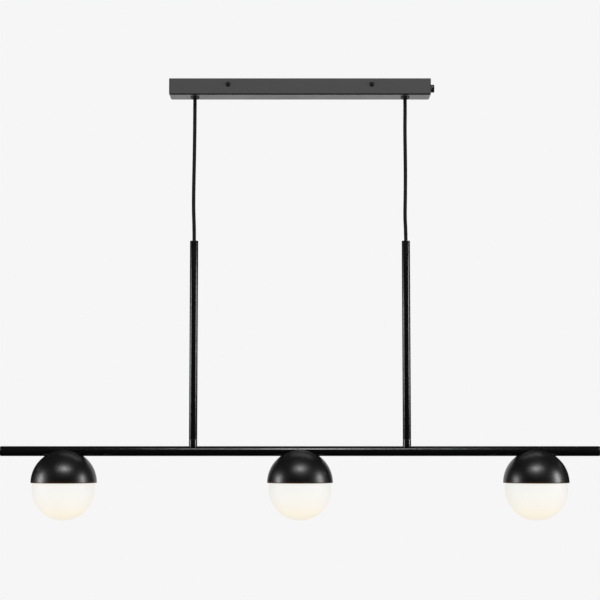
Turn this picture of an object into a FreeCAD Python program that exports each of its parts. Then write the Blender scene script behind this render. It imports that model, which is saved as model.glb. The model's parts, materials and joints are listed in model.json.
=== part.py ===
import FreeCAD, Part
import math
import os
import re
import Sketcher

Vector = FreeCAD.Vector

# Linear island pendant. Millimetres, Z up. The origin is the middle of the ceiling face of the
# canopy, X runs along the bar and the room side faces -Y.

# Every size that can be set by itself: (name, value, what it is).
SIZES = [
    ("canopy_length", 508, "canopy cover, along X"),
    ("canopy_width", 50, "canopy cover, along Y"),
    ("canopy_height", 32, "canopy cover, ceiling to underside"),
    ("canopy_wall", 1.2, "sheet of the canopy cover"),
    ("canopy_corner", 3, "outer bend radius of the cover"),
    ("bracket_length", 380, "ceiling bracket, along X"),
    ("bracket_width", 30, "ceiling bracket, along Y"),
    ("bracket_sheet", 2, "sheet of the bracket"),
    ("tab_spacing", 279, "between the two pairs of screw tabs"),
    ("tab_width", 20, "one tab, along X"),
    ("tab_drop", 21, "tab, ceiling to its lower edge"),
    ("tab_sheet", 1.5, "thickness of a tab"),
    ("fixing_spacing", 330, "between the two ceiling screw holes"),
    ("fixing_hole_radius", 2.6, "ceiling screw hole"),
    ("entry_hole_radius", 10, "hole for the house wiring"),
    ("cover_screw_drop", 11.4, "cover screws, below the ceiling"),
    ("cover_screw_radius", 2, "cover screw shank"),
    ("cover_screw_length", 7, "cover screw, under its head"),
    ("screw_head_radius", 4.9, "cover screw head"),
    ("screw_head_height", 2, "cover screw head"),
    ("block_length", 44, "terminal block, along X"),
    ("block_width", 18, "terminal block, along Y"),
    ("block_height", 14, "terminal block, along Z"),
    ("pole_pitch", 6, "between the poles of the terminal block"),
    ("pole_screw_radius", 1.8, "clamp screws of the terminal block"),
    ("earth_place", 62, "earth screw, from the middle along X"),
    ("earth_offset", 10, "earth screw, from the middle along Y"),
    ("earth_screw_radius", 2, "earth screw shank"),
    ("inlet_drop", 15, "side cable inlet, below the ceiling"),
    ("inlet_flange_radius", 7.8, "side cable inlet, outside the cover"),
    ("inlet_reach", 8, "side cable inlet, how far it stands out"),
    ("inlet_body_radius", 6, "side cable inlet, through the wall"),
    ("inlet_body_length", 9.5, "side cable inlet, inside the wall's outer face"),
    ("inlet_bore_radius", 3.75, "side cable inlet, hole for a lead"),
    ("cord_spacing", 410, "between the two cords, and between the two rods"),
    ("cord_radius", 3.25, "textile covered cord"),
    ("cord_visible", 282.5, "canopy underside to rod top"),
    ("swing_margin", 0.5, "pivot of the swing, above the canopy underside"),
    ("root_length", 3, "cord length in the throat of the gland, where it bends"),
    ("gland_flange_radius", 8.5, "cord gland, ring under the canopy"),
    ("gland_flange_height", 3.5, "cord gland, ring under the canopy"),
    ("gland_mouth_radius", 5.8, "cord gland, bell mouth"),
    ("gland_throat_radius", 4.4, "cord gland, bore above the mouth"),
    ("gland_thread_radius", 6, "cord gland, threaded part"),
    ("gland_thread_length", 8, "cord gland, above the canopy underside"),
    ("gland_nut_flats", 16, "nut of the gland, across flats"),
    ("gland_nut_height", 3, "nut of the gland"),
    ("clamp_radius", 7, "cord clamp on top of the gland"),
    ("clamp_height", 4, "cord clamp on top of the gland"),
    ("lead_bend_radius", 8, "bend of the cord inside the canopy, at its middle"),
    ("rod_radius", 8, "rod"),
    ("rod_wall", 1.2, "rod"),
    ("rod_length", 382.8, "rod, without its foot collar"),
    ("rod_edge", 0.4, "bevel at the top of the rod"),
    ("plug_height", 5, "plug in the top of the rod"),
    ("plug_mouth_radius", 5, "hole of the plug, at its top"),
    ("plug_throat_radius", 3.7, "hole of the plug, at its bottom"),
    ("plug_recess", 0.3, "plug, below the rod's rim"),
    ("stop_radius", 4.2, "crimped stop on the cord's end"),
    ("stop_length", 7, "crimped stop on the cord's end"),
    ("stop_gap", 1.2, "between the plug and the stop, for the cord to bend"),
    ("collar_height", 13.2, "foot collar of the rod, above the bar"),
    ("collar_saddle", 2.5, "foot collar, how far it hugs the bar"),
    ("spigot_length", 12, "foot collar, inside the rod"),
    ("nipple_radius", 5, "threaded nipple"),
    ("nipple_bore_radius", 3.5, "wire way through a nipple"),
    ("rod_nipple_reach", 11, "nipple of the rod, above the bar"),
    ("saddle_nut_length", 16, "half round nut inside the bar, along X"),
    ("saddle_nut_flat", 3.2, "half round nut, from the bar's axis to its flat"),
    ("bar_length", 1150, "bar with its end caps"),
    ("bar_radius", 9.5, "bar"),
    ("bar_wall", 1.5, "bar"),
    ("cap_height", 3, "end cap, outside the bar"),
    ("cap_round", 2.4, "end cap, rounding of its edge"),
    ("cap_plug_length", 10, "end cap, inside the bar"),
    ("wire_radius", 2.2, "bundle of wires in the bar"),
    ("shade_spacing", 452, "between neighbouring shades"),
    ("shade_radius", 63, "half ball shade, outside"),
    ("shade_wall", 1.2, "half ball shade"),
    ("shade_drop", 60.5, "bar axis to the shade's centre"),
    ("washer_radius", 8, "saddle washer under the bar"),
    ("washer_height", 2.5, "saddle washer, under the bar's lowest line"),
    ("washer_saddle", 2.5, "saddle washer, how far it hugs the bar"),
    ("plate_sheet", 1.5, "plate across the inside of the shade"),
    ("carrier_flange_radius", 27, "lamp carrier, flange"),
    ("carrier_flange_height", 1.2, "lamp carrier, flange"),
    ("carrier_thread_radius", 21, "lamp carrier, thread for the globe"),
    ("carrier_wall", 2.6, "lamp carrier, side wall"),
    ("carrier_floor", 3, "lamp carrier, top wall"),
    ("carrier_height", 14, "lamp carrier"),
    ("carrier_nut_flats", 14, "nut inside the lamp carrier, across flats"),
    ("carrier_nut_height", 3.6, "nut inside the lamp carrier"),
    ("gasket_height", 1.5, "silicone gasket on the globe's collar"),
    ("ring_flange_height", 2.4, "collar of the globe, flange"),
    ("ring_wall", 1.9, "collar of the globe, sleeve"),
    ("ring_length", 8, "collar of the globe, sleeve below the flange"),
    ("globe_radius", 60.3, "opal glass globe, outside"),
    ("globe_wall", 2.2, "opal glass globe"),
    ("globe_drop", 11.2, "shade centre to globe centre"),
    ("holder_radius", 9.5, "ceramic lamp holder"),
    ("holder_length", 26, "ceramic lamp holder"),
    ("holder_socket", 5, "lamp holder, depth of its screwed top"),
    ("pin_spacing", 9, "between the two pins of the lamp"),
    ("pin_radius", 0.9, "pin of the lamp"),
    ("pin_length", 15, "pin of the lamp"),
    ("pin_hole_radius", 1.3, "contact hole in the holder"),
    ("pin_hole_depth", 17, "contact hole in the holder"),
    ("lamp_radius", 8, "lamp capsule"),
    ("lamp_length", 46, "lamp capsule, under its base"),
    ("fit_gap", 0.1, "play between pieces that fit"),
    ("slide_gap", 0.3, "play between pieces that move"),
]

# Places and sizes that follow from the sizes above.
DERIVED = {
    "rod_top": "(0 - canopy_height - cord_visible)",
    "bar_top": "(rod_top - rod_length - collar_height)",
    "bar_axis": "(bar_top - bar_radius)",
    "shade_centre": "(bar_axis - shade_drop)",
    "swing_pivot": "(swing_margin - canopy_height)",
    "root_low": "(swing_pivot - root_length / 2)",
    "level_pivot": "(rod_top - plug_height)",
    "stop_top": "(level_pivot - stop_gap)",
    "rod_bore": "(rod_radius - rod_wall)",
    "bar_bore": "(bar_radius - bar_wall)",
    "cover_inside": "(canopy_width / 2 - canopy_wall)",
    "tab_outside": "(cover_inside - 2 * fit_gap)",
    "nipple_hole": "(nipple_radius + fit_gap)",
    "saddle_hole": "(bar_radius + fit_gap)",
    "shade_inside": "(shade_radius - shade_wall)",
    "plate_top": "(shade_drop - bar_radius - washer_height)",
    "plate_low": "(plate_top - plate_sheet)",
    "carrier_low": "(plate_low - carrier_height)",
    "gasket_top": "(plate_low - carrier_flange_height)",
    "ring_top": "(gasket_top - gasket_height)",
    "ring_inside": "(carrier_thread_radius + slide_gap)",
    "ring_outside": "(ring_inside + ring_wall)",
    "glass_top": "(ring_top - ring_flange_height)",
    "glass_rise": "(glass_top + globe_drop)",
    "globe_inside": "(globe_radius - globe_wall)",
    "nut_top": "(plate_low - carrier_floor)",
    "holder_top": "(nut_top - carrier_nut_height - fit_gap)",
    "holder_low": "(holder_top - holder_length)",
    "lead_level": "(gland_thread_length + clamp_height - canopy_height + lead_bend_radius)",
}

# Where a cord runs: (share of the way down, sideways, towards the room), chosen from the photograph.
LEFT_CORD_ROUTE = [
    (0, 0, 0),
    (0.11, 0, 0),
    (0.26, -0.2, 0.3),
    (0.42, -0.6, -0.2),
    (0.6, -1.4, -0.5),
    (0.76, -1.7, 0.2),
    (0.9, 0, 0),
    (1, 0, 0),
]
RIGHT_CORD_ROUTE = [
    (0, 0, 0),
    (0.1, 0, 0),
    (0.22, -0.6, -0.3),
    (0.38, -0.2, -0.6),
    (0.54, 0.1, 0.2),
    (0.7, -0.6, 0.6),
    (0.82, -1.4, 0.2),
    (0.91, 0, 0),
    (1, 0, 0),
]
ARC_SHARE = 0.45
SIDES = [("left", -1), ("right", 1)]
SHADES = [("left", -1), ("middle", 0), ("right", 1)]

doc = FreeCAD.newDocument("IslandPendant")
sheet = doc.addObject("Spreadsheet::Sheet", "Sizes")
for row, (alias, value, meaning) in enumerate(SIZES, start=1):
    sheet.set(f"A{row}", alias)
    sheet.set(f"B{row}", str(value))
    sheet.set(f"C{row}", meaning)
    sheet.setAlias(f"B{row}", alias)
doc.recompute()

ALIASES = {alias for alias, value, meaning in SIZES}
pieces = []


def sized(text):
    """Spell out a formula so that every size in it is read from the sheet."""
    def swap(match):
        word = match.group(0)
        if word in DERIVED:
            return sized(DERIVED[word])
        return f"Sizes.{word}" if word in ALIASES else word

    return re.sub(r"[a-z][a-z_]+", swap, str(text))


def number(text):
    """The value of a formula as the sheet stands."""
    return float(sheet.evalExpression(sized(text)))


def new_body(label):
    body = doc.addObject("PartDesign::Body", label)
    body.Label = label
    return body


def keep(item, label=None):
    """Count an object as a finished sub-part."""
    if label:
        item.Label = label
    pieces.append(item)
    return item


def place(item, x="0", y="0", z="0", axis=(0, 0, 1), angle=0):
    """Stand an object at a place given by formulas, turned about an axis."""
    item.Placement = FreeCAD.Placement(Vector(0, 0, 0), FreeCAD.Rotation(Vector(*axis), angle))
    for letter, text in (("x", x), ("y", y), ("z", z)):
        item.setExpression(f"Placement.Base.{letter}", sized(text))
    return item


def new_sketch(body, role):
    """A sketch on one of the body's own planes: XY_Plane, XZ_Plane or YZ_Plane."""
    plane = next(item for item in body.Origin.OriginFeatures if item.Role == role)
    sketch = body.newObject("Sketcher::SketchObject", body.Label + "_sketch")
    sketch.AttachmentSupport = [(plane, "")]
    sketch.MapMode = "FlatFace"
    return sketch


def bind(sketch, constraint, text):
    """Add a constraint and give its value to a formula."""
    index = sketch.addConstraint(constraint)
    sketch.setExpression(f"Constraints[{index}]", sized(text))


def draw_outline(sketch, corners):
    """A closed outline. A corner is (u, v); with (u, v, cu, cv) the edge after it is an arc
    about (cu, cv)."""
    spots = [(number(corner[0]), number(corner[1])) for corner in corners]
    edges = []
    for index, corner in enumerate(corners):
        start = spots[index]
        end = spots[(index + 1) % len(spots)]
        if len(corner) == 2:
            line = Part.LineSegment(Vector(*start, 0), Vector(*end, 0))
            edges.append((sketch.addGeometry(line, False), 1, 2))
            continue
        centre = (number(corner[2]), number(corner[3]))
        first = math.atan2(start[1] - centre[1], start[0] - centre[0])
        last = math.atan2(end[1] - centre[1], end[0] - centre[0])
        forward = (last - first) % (2 * math.pi) < math.pi
        low, high = (first, last) if forward else (last, first)
        circle = Part.Circle(Vector(*centre, 0), Vector(0, 0, 1), math.dist(start, centre))
        geometry = sketch.addGeometry(Part.ArcOfCircle(circle, low, high), False)
        edges.append((geometry, 1, 2) if forward else (geometry, 2, 1))
        bind(sketch, Sketcher.Constraint("DistanceX", geometry, 3, centre[0]), corner[2])
    for index, corner in enumerate(corners):
        edge, start, end = edges[index]
        after = edges[(index + 1) % len(edges)]
        sketch.addConstraint(Sketcher.Constraint("Coincident", edge, end, after[0], after[1]))
        u, v = spots[index]
        bind(sketch, Sketcher.Constraint("DistanceX", edge, start, u), corner[0])
        bind(sketch, Sketcher.Constraint("DistanceY", edge, start, v), corner[1])


def draw_circles(sketch, circles):
    """Whole circles, each (u, v, radius)."""
    for u, v, radius in circles:
        spot = (number(u), number(v))
        circle = Part.Circle(Vector(*spot, 0), Vector(0, 0, 1), number(radius))
        geometry = sketch.addGeometry(circle, False)
        bind(sketch, Sketcher.Constraint("DistanceX", geometry, 3, spot[0]), u)
        bind(sketch, Sketcher.Constraint("DistanceY", geometry, 3, spot[1]), v)
        bind(sketch, Sketcher.Constraint("Radius", geometry, number(radius)), radius)


def rectangle(half_u, half_v, u="0", v="0"):
    """The corners of a rectangle about (u, v)."""
    return [
        (f"{u} - ({half_u})", f"{v} - ({half_v})"),
        (f"{u} + ({half_u})", f"{v} - ({half_v})"),
        (f"{u} + ({half_u})", f"{v} + ({half_v})"),
        (f"{u} - ({half_u})", f"{v} + ({half_v})"),
    ]


def hexagon(flats):
    """The corners of a hexagon with this width across its flats."""
    reach = f"({flats}) / 2 / cos(30 deg)"
    return [(f"{reach} * cos({60 * i} deg)", f"{reach} * sin({60 * i} deg)") for i in range(6)]


def turned(label, corners):
    """A body turned about its own Z axis from an outline of (radius, height) corners."""
    body = new_body(label)
    sketch = new_sketch(body, "XZ_Plane")
    draw_outline(sketch, corners)
    turning = body.newObject("PartDesign::Revolution", label + "_turning")
    turning.Profile = sketch
    turning.ReferenceAxis = (sketch, ["V_Axis"])
    turning.Angle = 360
    return body


def pad(body, sketch, length, down=False, both_ways=False):
    feature = body.newObject("PartDesign::Pad", body.Label + "_pad")
    feature.Profile = sketch
    feature.setExpression("Length", sized(length))
    feature.Reversed = down
    feature.SideType = "Symmetric" if both_ways else "One side"
    return feature


def pocket(body, sketch, length=None, along=False, both_ways=False):
    """Cut a sketch into the body, against its normal, or along it, or both ways. With no
    length, the cut goes right through. A cut that removes nothing is an error."""
    doc.recompute()
    before = body.Shape.Volume
    feature = body.newObject("PartDesign::Pocket", body.Label + "_cut")
    feature.Profile = sketch
    if length is None:
        feature.Type = "ThroughAll"
    else:
        feature.setExpression("Length", sized(length))
    feature.Reversed = along
    feature.SideType = "Symmetric" if both_ways else "One side"
    doc.recompute()
    if before - body.Shape.Volume < 1e-3:
        raise RuntimeError(f"a cut in {body.Label} removes nothing")
    return feature


def cylinder(label, radius, height, x="0", y="0", z="0", axis=(0, 0, 1), angle=0):
    item = doc.addObject("Part::Cylinder", label)
    item.setExpression("Radius", sized(radius))
    item.setExpression("Height", sized(height))
    return place(item, x, y, z, axis, angle)


def joined(label, members):
    """Several overlapping members as one solid."""
    item = doc.addObject("Part::MultiFuse", label)
    item.Shapes = members
    item.Refine = True
    return item


def group(label, members):
    """Identical fasteners: separate solids that share one sub-part."""
    item = doc.addObject("Part::Compound", label)
    item.Links = members
    return keep(item, label)


def make_canopy_cover():
    """A folded sheet box, open at the ceiling, with the same wall round its bends."""
    body = new_body("canopy_cover")
    outside = new_sketch(body, "XY_Plane")
    draw_outline(outside, rectangle("canopy_length / 2", "canopy_width / 2"))
    pad(body, outside, "canopy_height", down=True)
    inside = new_sketch(body, "XY_Plane")
    draw_outline(inside, rectangle("canopy_length / 2 - canopy_wall", "cover_inside"))
    box = pocket(body, inside, "canopy_height - canopy_wall")
    for label, side, radius in (
        ("inner_bends", "cover_inside", "canopy_corner - canopy_wall"),
        ("outer_bends", "canopy_width / 2", "canopy_corner"),
    ):
        bends = []
        for index, edge in enumerate(box.Shape.Edges, start=1):
            reach = max(-edge.BoundBox.YMin, edge.BoundBox.YMax)
            if edge.CenterOfMass.z < -1e-6 and abs(reach - number(side)) < 1e-3:
                bends.append(f"Edge{index}")
        fillet = body.newObject("PartDesign::Fillet", label)
        fillet.Base = (box, bends)
        fillet.setExpression("Radius", sized(radius))
        doc.recompute()
        box = fillet
    gland_holes = new_sketch(body, "XY_Plane")
    hole = "gland_thread_radius + fit_gap"
    draw_circles(gland_holes, [(f"{side} * cord_spacing / 2", "0", hole) for _, side in SIDES])
    pocket(body, gland_holes)
    screw_holes = new_sketch(body, "XZ_Plane")
    draw_circles(
        screw_holes,
        [
            (f"{side} * tab_spacing / 2", "0 - cover_screw_drop", "cover_screw_radius + 2 * fit_gap")
            for _, side in SIDES
        ],
    )
    pocket(body, screw_holes, both_ways=True)
    inlet_hole = new_sketch(body, "YZ_Plane")
    draw_circles(inlet_hole, [("0", "0 - inlet_drop", "inlet_body_radius + fit_gap")])
    pocket(body, inlet_hole, along=True)
    keep(body)


def make_ceiling_bracket():
    """A flat bar with two saddles, whose bent tabs take the cover's screws."""
    body = new_body("ceiling_bracket")
    bar = new_sketch(body, "XY_Plane")
    draw_outline(bar, rectangle("bracket_length / 2", "bracket_width / 2"))
    pad(body, bar, "bracket_sheet", down=True)
    saddles = new_sketch(body, "XY_Plane")
    for _, side in SIDES:
        middle = f"{side} * tab_spacing / 2"
        draw_outline(saddles, rectangle("tab_width / 2", "tab_outside", middle))
    pad(body, saddles, "bracket_sheet", down=True)
    tabs = new_sketch(body, "XY_Plane")
    for _, side in SIDES:
        for _, face in SIDES:
            middle_x = f"{side} * tab_spacing / 2"
            middle_y = f"{face} * (tab_outside - tab_sheet / 2)"
            draw_outline(tabs, rectangle("tab_width / 2", "tab_sheet / 2", middle_x, middle_y))
    pad(body, tabs, "tab_drop", down=True)
    holes = new_sketch(body, "XY_Plane")
    circles = [(f"{side} * fixing_spacing / 2", "0", "fixing_hole_radius") for _, side in SIDES]
    circles.append(("0 - earth_place", "0", "entry_hole_radius"))
    circles.append(("earth_place", "earth_offset", "earth_screw_radius + fit_gap / 2"))
    draw_circles(holes, circles)
    pocket(body, holes)
    screw_holes = new_sketch(body, "XZ_Plane")
    draw_circles(
        screw_holes,
        [
            (f"{side} * tab_spacing / 2", "0 - cover_screw_drop", "cover_screw_radius + fit_gap / 2")
            for _, side in SIDES
        ],
    )
    pocket(body, screw_holes, both_ways=True)
    keep(body)


def make_cover_screws():
    """Four pan head screws with a crossed recess, two in each long face of the cover."""
    screws = []
    for face_name, face in SIDES:
        for side_name, side in SIDES:
            label = f"cover_screw_{face_name}_{side_name}"
            body = turned(
                label,
                [
                    ("0", "screw_head_height"),
                    ("screw_head_radius * 0.55", "screw_head_height"),
                    ("screw_head_radius", "screw_head_height * 0.35"),
                    ("screw_head_radius", "0"),
                    ("cover_screw_radius", "0"),
                    ("cover_screw_radius", "0 - cover_screw_length"),
                    ("0", "0 - cover_screw_length"),
                ],
            )
            slot = ("screw_head_radius * 0.5", "screw_head_radius * 0.09")
            for half_u, half_v in (slot, slot[::-1]):
                recess = new_sketch(body, "XY_Plane")
                draw_outline(recess, rectangle(half_u, half_v))
                pocket(body, recess, "screw_head_height", along=True)
            place(
                body,
                f"{side} * tab_spacing / 2",
                f"{face} * canopy_width / 2",
                "0 - cover_screw_drop",
                (1, 0, 0),
                -90 * face,
            )
            screws.append(body)
    group("cover_screws", screws)


def make_terminal_block():
    """The block that joins the house wiring to the cords, and its clamp screws."""
    block = new_body("terminal_block")
    outline = new_sketch(block, "XY_Plane")
    draw_outline(outline, rectangle("block_length / 2", "block_width / 2"))
    pad(block, outline, "block_height", down=True)
    ways = new_sketch(block, "YZ_Plane")
    level = "0 - block_height * 0.35"
    wells = [(f"{pole} * pole_pitch", level, "pole_screw_radius") for pole in (-1, 1)]
    draw_circles(ways, wells)
    pocket(block, ways, both_ways=True)
    place(block, z="0 - bracket_sheet")
    keep(block)
    screws = []
    for _, side in SIDES:
        for pole in (-1, 0, 1):
            label = f"pole_screw_{side + 1}_{pole + 1}"
            screws.append(
                cylinder(
                    label,
                    "pole_screw_radius",
                    "pole_screw_radius / 2",
                    f"{side} * block_length / 4",
                    f"{pole} * pole_pitch",
                    "0 - bracket_sheet - block_height - pole_screw_radius / 2",
                )
            )
    group("terminal_screws", screws)
    earth = turned(
        "earth_screw",
        [
            ("0", "bracket_sheet"),
            ("earth_screw_radius", "bracket_sheet"),
            ("earth_screw_radius", "0"),
            ("earth_screw_radius * 2", "0"),
            ("earth_screw_radius * 2", "0 - earth_screw_radius"),
            ("0", "0 - earth_screw_radius"),
        ],
    )
    keep(place(earth, "earth_place", "earth_offset", "0 - bracket_sheet"))


def make_side_inlet():
    """A bush in the right end of the cover, which takes a lead from the side."""
    body = turned(
        "side_inlet_bush",
        [
            ("inlet_bore_radius", "0 - inlet_body_length"),
            ("inlet_body_radius", "0 - inlet_body_length"),
            ("inlet_body_radius", "0"),
            ("inlet_flange_radius", "0"),
            ("inlet_flange_radius", "inlet_reach * 0.92"),
            ("inlet_flange_radius - inlet_reach * 0.08", "inlet_reach"),
            ("inlet_bore_radius", "inlet_reach"),
        ],
    )
    keep(place(body, "canopy_length / 2", "0", "0 - inlet_drop", (0, 1, 0), 90))


def make_gland(name, side):
    """The bell mouthed bush that lets a cord out of the canopy, and its clamp."""
    x = f"{side} * cord_spacing / 2"
    gland = turned(
        f"{name}_cord_gland",
        [
            ("gland_mouth_radius", "0 - gland_flange_height"),
            ("gland_flange_radius - 1", "0 - gland_flange_height"),
            ("gland_flange_radius", "1 - gland_flange_height"),
            ("gland_flange_radius", "0"),
            ("gland_thread_radius", "0"),
            ("gland_thread_radius", "gland_thread_length"),
            ("gland_throat_radius", "gland_thread_length"),
            ("gland_throat_radius", "swing_margin + root_length / 2"),
        ],
    )
    keep(place(gland, x, "0", "0 - canopy_height"))
    clamp = turned(
        f"{name}_cord_clamp",
        [
            ("cord_radius + fit_gap / 2", "0"),
            ("clamp_radius", "0"),
            ("clamp_radius", "clamp_height * 0.7"),
            ("clamp_radius - clamp_height * 0.3", "clamp_height"),
            ("cord_radius + fit_gap / 2", "clamp_height"),
        ],
    )
    keep(place(clamp, x, "0", "gland_thread_length - canopy_height"))


def make_gland_nuts():
    nuts = []
    for name, side in SIDES:
        body = new_body(f"gland_nut_{name}")
        outline = new_sketch(body, "XY_Plane")
        draw_outline(outline, hexagon("gland_nut_flats"))
        draw_circles(outline, [("0", "0", "gland_thread_radius + fit_gap / 2")])
        pad(body, outline, "gland_nut_height")
        nuts.append(place(body, f"{side} * cord_spacing / 2", "0", "canopy_wall - canopy_height"))
    group("gland_nuts", nuts)


def make_canopy_lead(name, side):
    """The cord's own end inside the canopy, from the gland up and over to the terminal block."""
    x = f"{side} * cord_spacing / 2"
    low = "(swing_pivot + root_length / 2 + fit_gap * 4)"
    bend_low = "(lead_level - lead_bend_radius)"
    run_end = "(block_length / 2 + fit_gap * 2)"
    rise = cylinder(f"{name}_rise", "cord_radius", f"{bend_low} - {low}", x, "0", low)
    bend = doc.addObject("Part::Torus", f"{name}_bend")
    bend.setExpression("Radius1", sized("lead_bend_radius"))
    bend.setExpression("Radius2", sized("cord_radius"))
    bend.Angle3 = 90
    turn = FreeCAD.Rotation(Vector(1, 0, 0), 90)
    if side < 0:
        turn = turn.multiply(FreeCAD.Rotation(Vector(0, 0, 1), 90))
    place(bend, f"{side} * (cord_spacing / 2 - lead_bend_radius)", "0", bend_low)
    bend.Placement.Rotation = turn
    run = cylinder(
        f"{name}_run",
        "cord_radius",
        f"cord_spacing / 2 - lead_bend_radius - {run_end}",
        f"{side} * {run_end}",
        "0",
        "lead_level",
        (0, 1, 0),
        90 * side,
    )
    keep(joined(f"{name}_canopy_lead", [rise, bend, run]), f"{name}_canopy_lead")


def cord_tube(points, radius):
    """A tube along straight runs joined by tangent arcs, with the radius of each arc."""
    edges = []
    radii = []
    at = points[0]
    for before, corner, after in zip(points, points[1:], points[2:]):
        arriving = corner - before
        leaving = after - corner
        turn = arriving.getAngle(leaving)
        reach = ARC_SHARE * min(arriving.Length, leaving.Length)
        arc_radius = reach / math.tan(turn / 2)
        arriving.normalize()
        leaving.normalize()
        start = corner - arriving * reach
        end = corner + leaving * reach
        inward = leaving - arriving
        inward.normalize()
        depth = reach * math.tan(turn / 4)
        edges.append(Part.LineSegment(at, start).toShape())
        edges.append(Part.Arc(start, corner + inward * (reach * math.tan(turn / 2) - depth), end).toShape())
        radii.append(arc_radius)
        at = end
    edges.append(Part.LineSegment(at, points[-1]).toShape())
    path = Part.Wire(edges)
    along = points[1] - points[0]
    section = Part.Wire([Part.Circle(points[0], along, radius).toShape()])
    return path.makePipeShell([section], True, False), path.Length, radii


def make_cord(name, side, route):
    """A cord from the throat of its gland to the stop in the rod, and the short root above it."""
    x = number(f"{side} * cord_spacing / 2")
    top = number("root_low")
    low = number("stop_top")
    radius = number("cord_radius")
    points = [Vector(x + u, v, top + share * (low - top)) for share, u, v in route]
    shape, length, radii = cord_tube(points, radius)
    ratio = shape.Volume / (math.pi * radius**2 * length)
    print(f"{name}_cord: {length:.1f} long, volume ratio {ratio:.4f}, radii", [round(r) for r in radii])
    cord = doc.addObject("Part::Feature", f"{name}_cord")
    cord.Shape = shape
    keep(cord, f"{name}_cord")
    root = cylinder(
        f"{name}_cord_root",
        "cord_radius",
        "root_length",
        f"{side} * cord_spacing / 2",
        "0",
        "root_low",
    )
    keep(root, f"{name}_cord_root")


def make_rod(name, side):
    """A rod with the plug that holds its cord's crimped stop, and the collar at its foot."""
    x = f"{side} * cord_spacing / 2"
    rod = turned(
        f"{name}_rod",
        [
            ("rod_bore", "0 - rod_length"),
            ("rod_radius", "0 - rod_length"),
            ("rod_radius", "0 - rod_edge"),
            ("rod_radius - rod_edge", "0"),
            ("rod_bore", "0"),
        ],
    )
    keep(place(rod, x, "0", "rod_top"))
    plug = turned(
        f"{name}_rod_plug",
        [
            ("plug_throat_radius", "0 - plug_height"),
            ("rod_bore - fit_gap", "0 - plug_height"),
            ("rod_bore - fit_gap", "0 - plug_recess"),
            ("plug_mouth_radius", "0 - plug_recess"),
        ],
    )
    keep(place(plug, x, "0", "rod_top"))
    stop = turned(
        f"{name}_cord_stop",
        [
            ("0", "0 - stop_length"),
            ("stop_radius * 0.8", "0 - stop_length"),
            ("stop_radius", "0 - stop_length + stop_radius * 0.2"),
            ("stop_radius", "0 - stop_radius * 0.2"),
            ("stop_radius * 0.8", "0"),
            ("0", "0"),
        ],
    )
    keep(place(stop, x, "0", "stop_top"))
    collar = turned(
        f"{name}_rod_collar",
        [
            ("nipple_hole", "0 - collar_saddle"),
            ("rod_radius", "0 - collar_saddle"),
            ("rod_radius", "collar_height - fit_gap * 2"),
            ("rod_bore - fit_gap", "collar_height - fit_gap * 2"),
            ("rod_bore - fit_gap", "collar_height + spigot_length"),
            ("nipple_bore_radius + fit_gap", "collar_height + spigot_length"),
            ("nipple_bore_radius + fit_gap", "rod_nipple_reach + fit_gap"),
            ("nipple_hole", "rod_nipple_reach + fit_gap"),
        ],
    )
    saddle = new_sketch(collar, "YZ_Plane")
    draw_circles(saddle, [("0", "0 - bar_radius", "saddle_hole")])
    pocket(collar, saddle, both_ways=True)
    keep(place(collar, x, "0", "bar_top"))


def nipple(label, reach_low, reach_high, x, z):
    """A threaded tube between two heights of its own frame."""
    body = turned(
        label,
        [
            ("nipple_bore_radius", reach_low),
            ("nipple_radius", reach_low),
            ("nipple_radius", reach_high),
            ("nipple_bore_radius", reach_high),
        ],
    )
    return place(body, x, "0", z)


def make_nipples():
    rod_nipples = [
        nipple(
            f"rod_nipple_{name}",
            "saddle_nut_flat",
            "bar_radius + rod_nipple_reach",
            f"{side} * cord_spacing / 2",
            "bar_axis",
        )
        for name, side in SIDES
    ]
    group("rod_nipples", rod_nipples)
    shade_nipples = [
        nipple(
            f"shade_nipple_{name}",
            "holder_top - holder_socket - shade_drop + fit_gap",
            "0 - saddle_nut_flat",
            f"{side} * shade_spacing",
            "bar_axis",
        )
        for name, side in SHADES
    ]
    group("shade_nipples", shade_nipples)


def saddle_nut(label, x, angle):
    """A half round block that lies against the bar's inner wall and takes a nipple."""
    body = new_body(label)
    outline = new_sketch(body, "YZ_Plane")
    reach = "(bar_bore - fit_gap)"
    chord = f"sqrt({reach} * {reach} - saddle_nut_flat * saddle_nut_flat)"
    draw_outline(
        outline,
        [
            (f"0 - {chord}", "saddle_nut_flat"),
            (chord, "saddle_nut_flat", "0", "0"),
            ("0", reach, "0", "0"),
        ],
    )
    pad(body, outline, "saddle_nut_length", both_ways=True)
    hole = new_sketch(body, "XY_Plane")
    draw_circles(hole, [("0", "0", "nipple_radius + fit_gap / 2")])
    pocket(body, hole, along=True)
    return place(body, x, "0", "bar_axis", (1, 0, 0), angle)


def make_saddle_nuts():
    nuts = [saddle_nut(f"saddle_nut_rod_{n}", f"{side} * cord_spacing / 2", 0) for n, side in SIDES]
    nuts += [saddle_nut(f"saddle_nut_shade_{n}", f"{side} * shade_spacing", 180) for n, side in SHADES]
    group("saddle_nuts", nuts)


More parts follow.
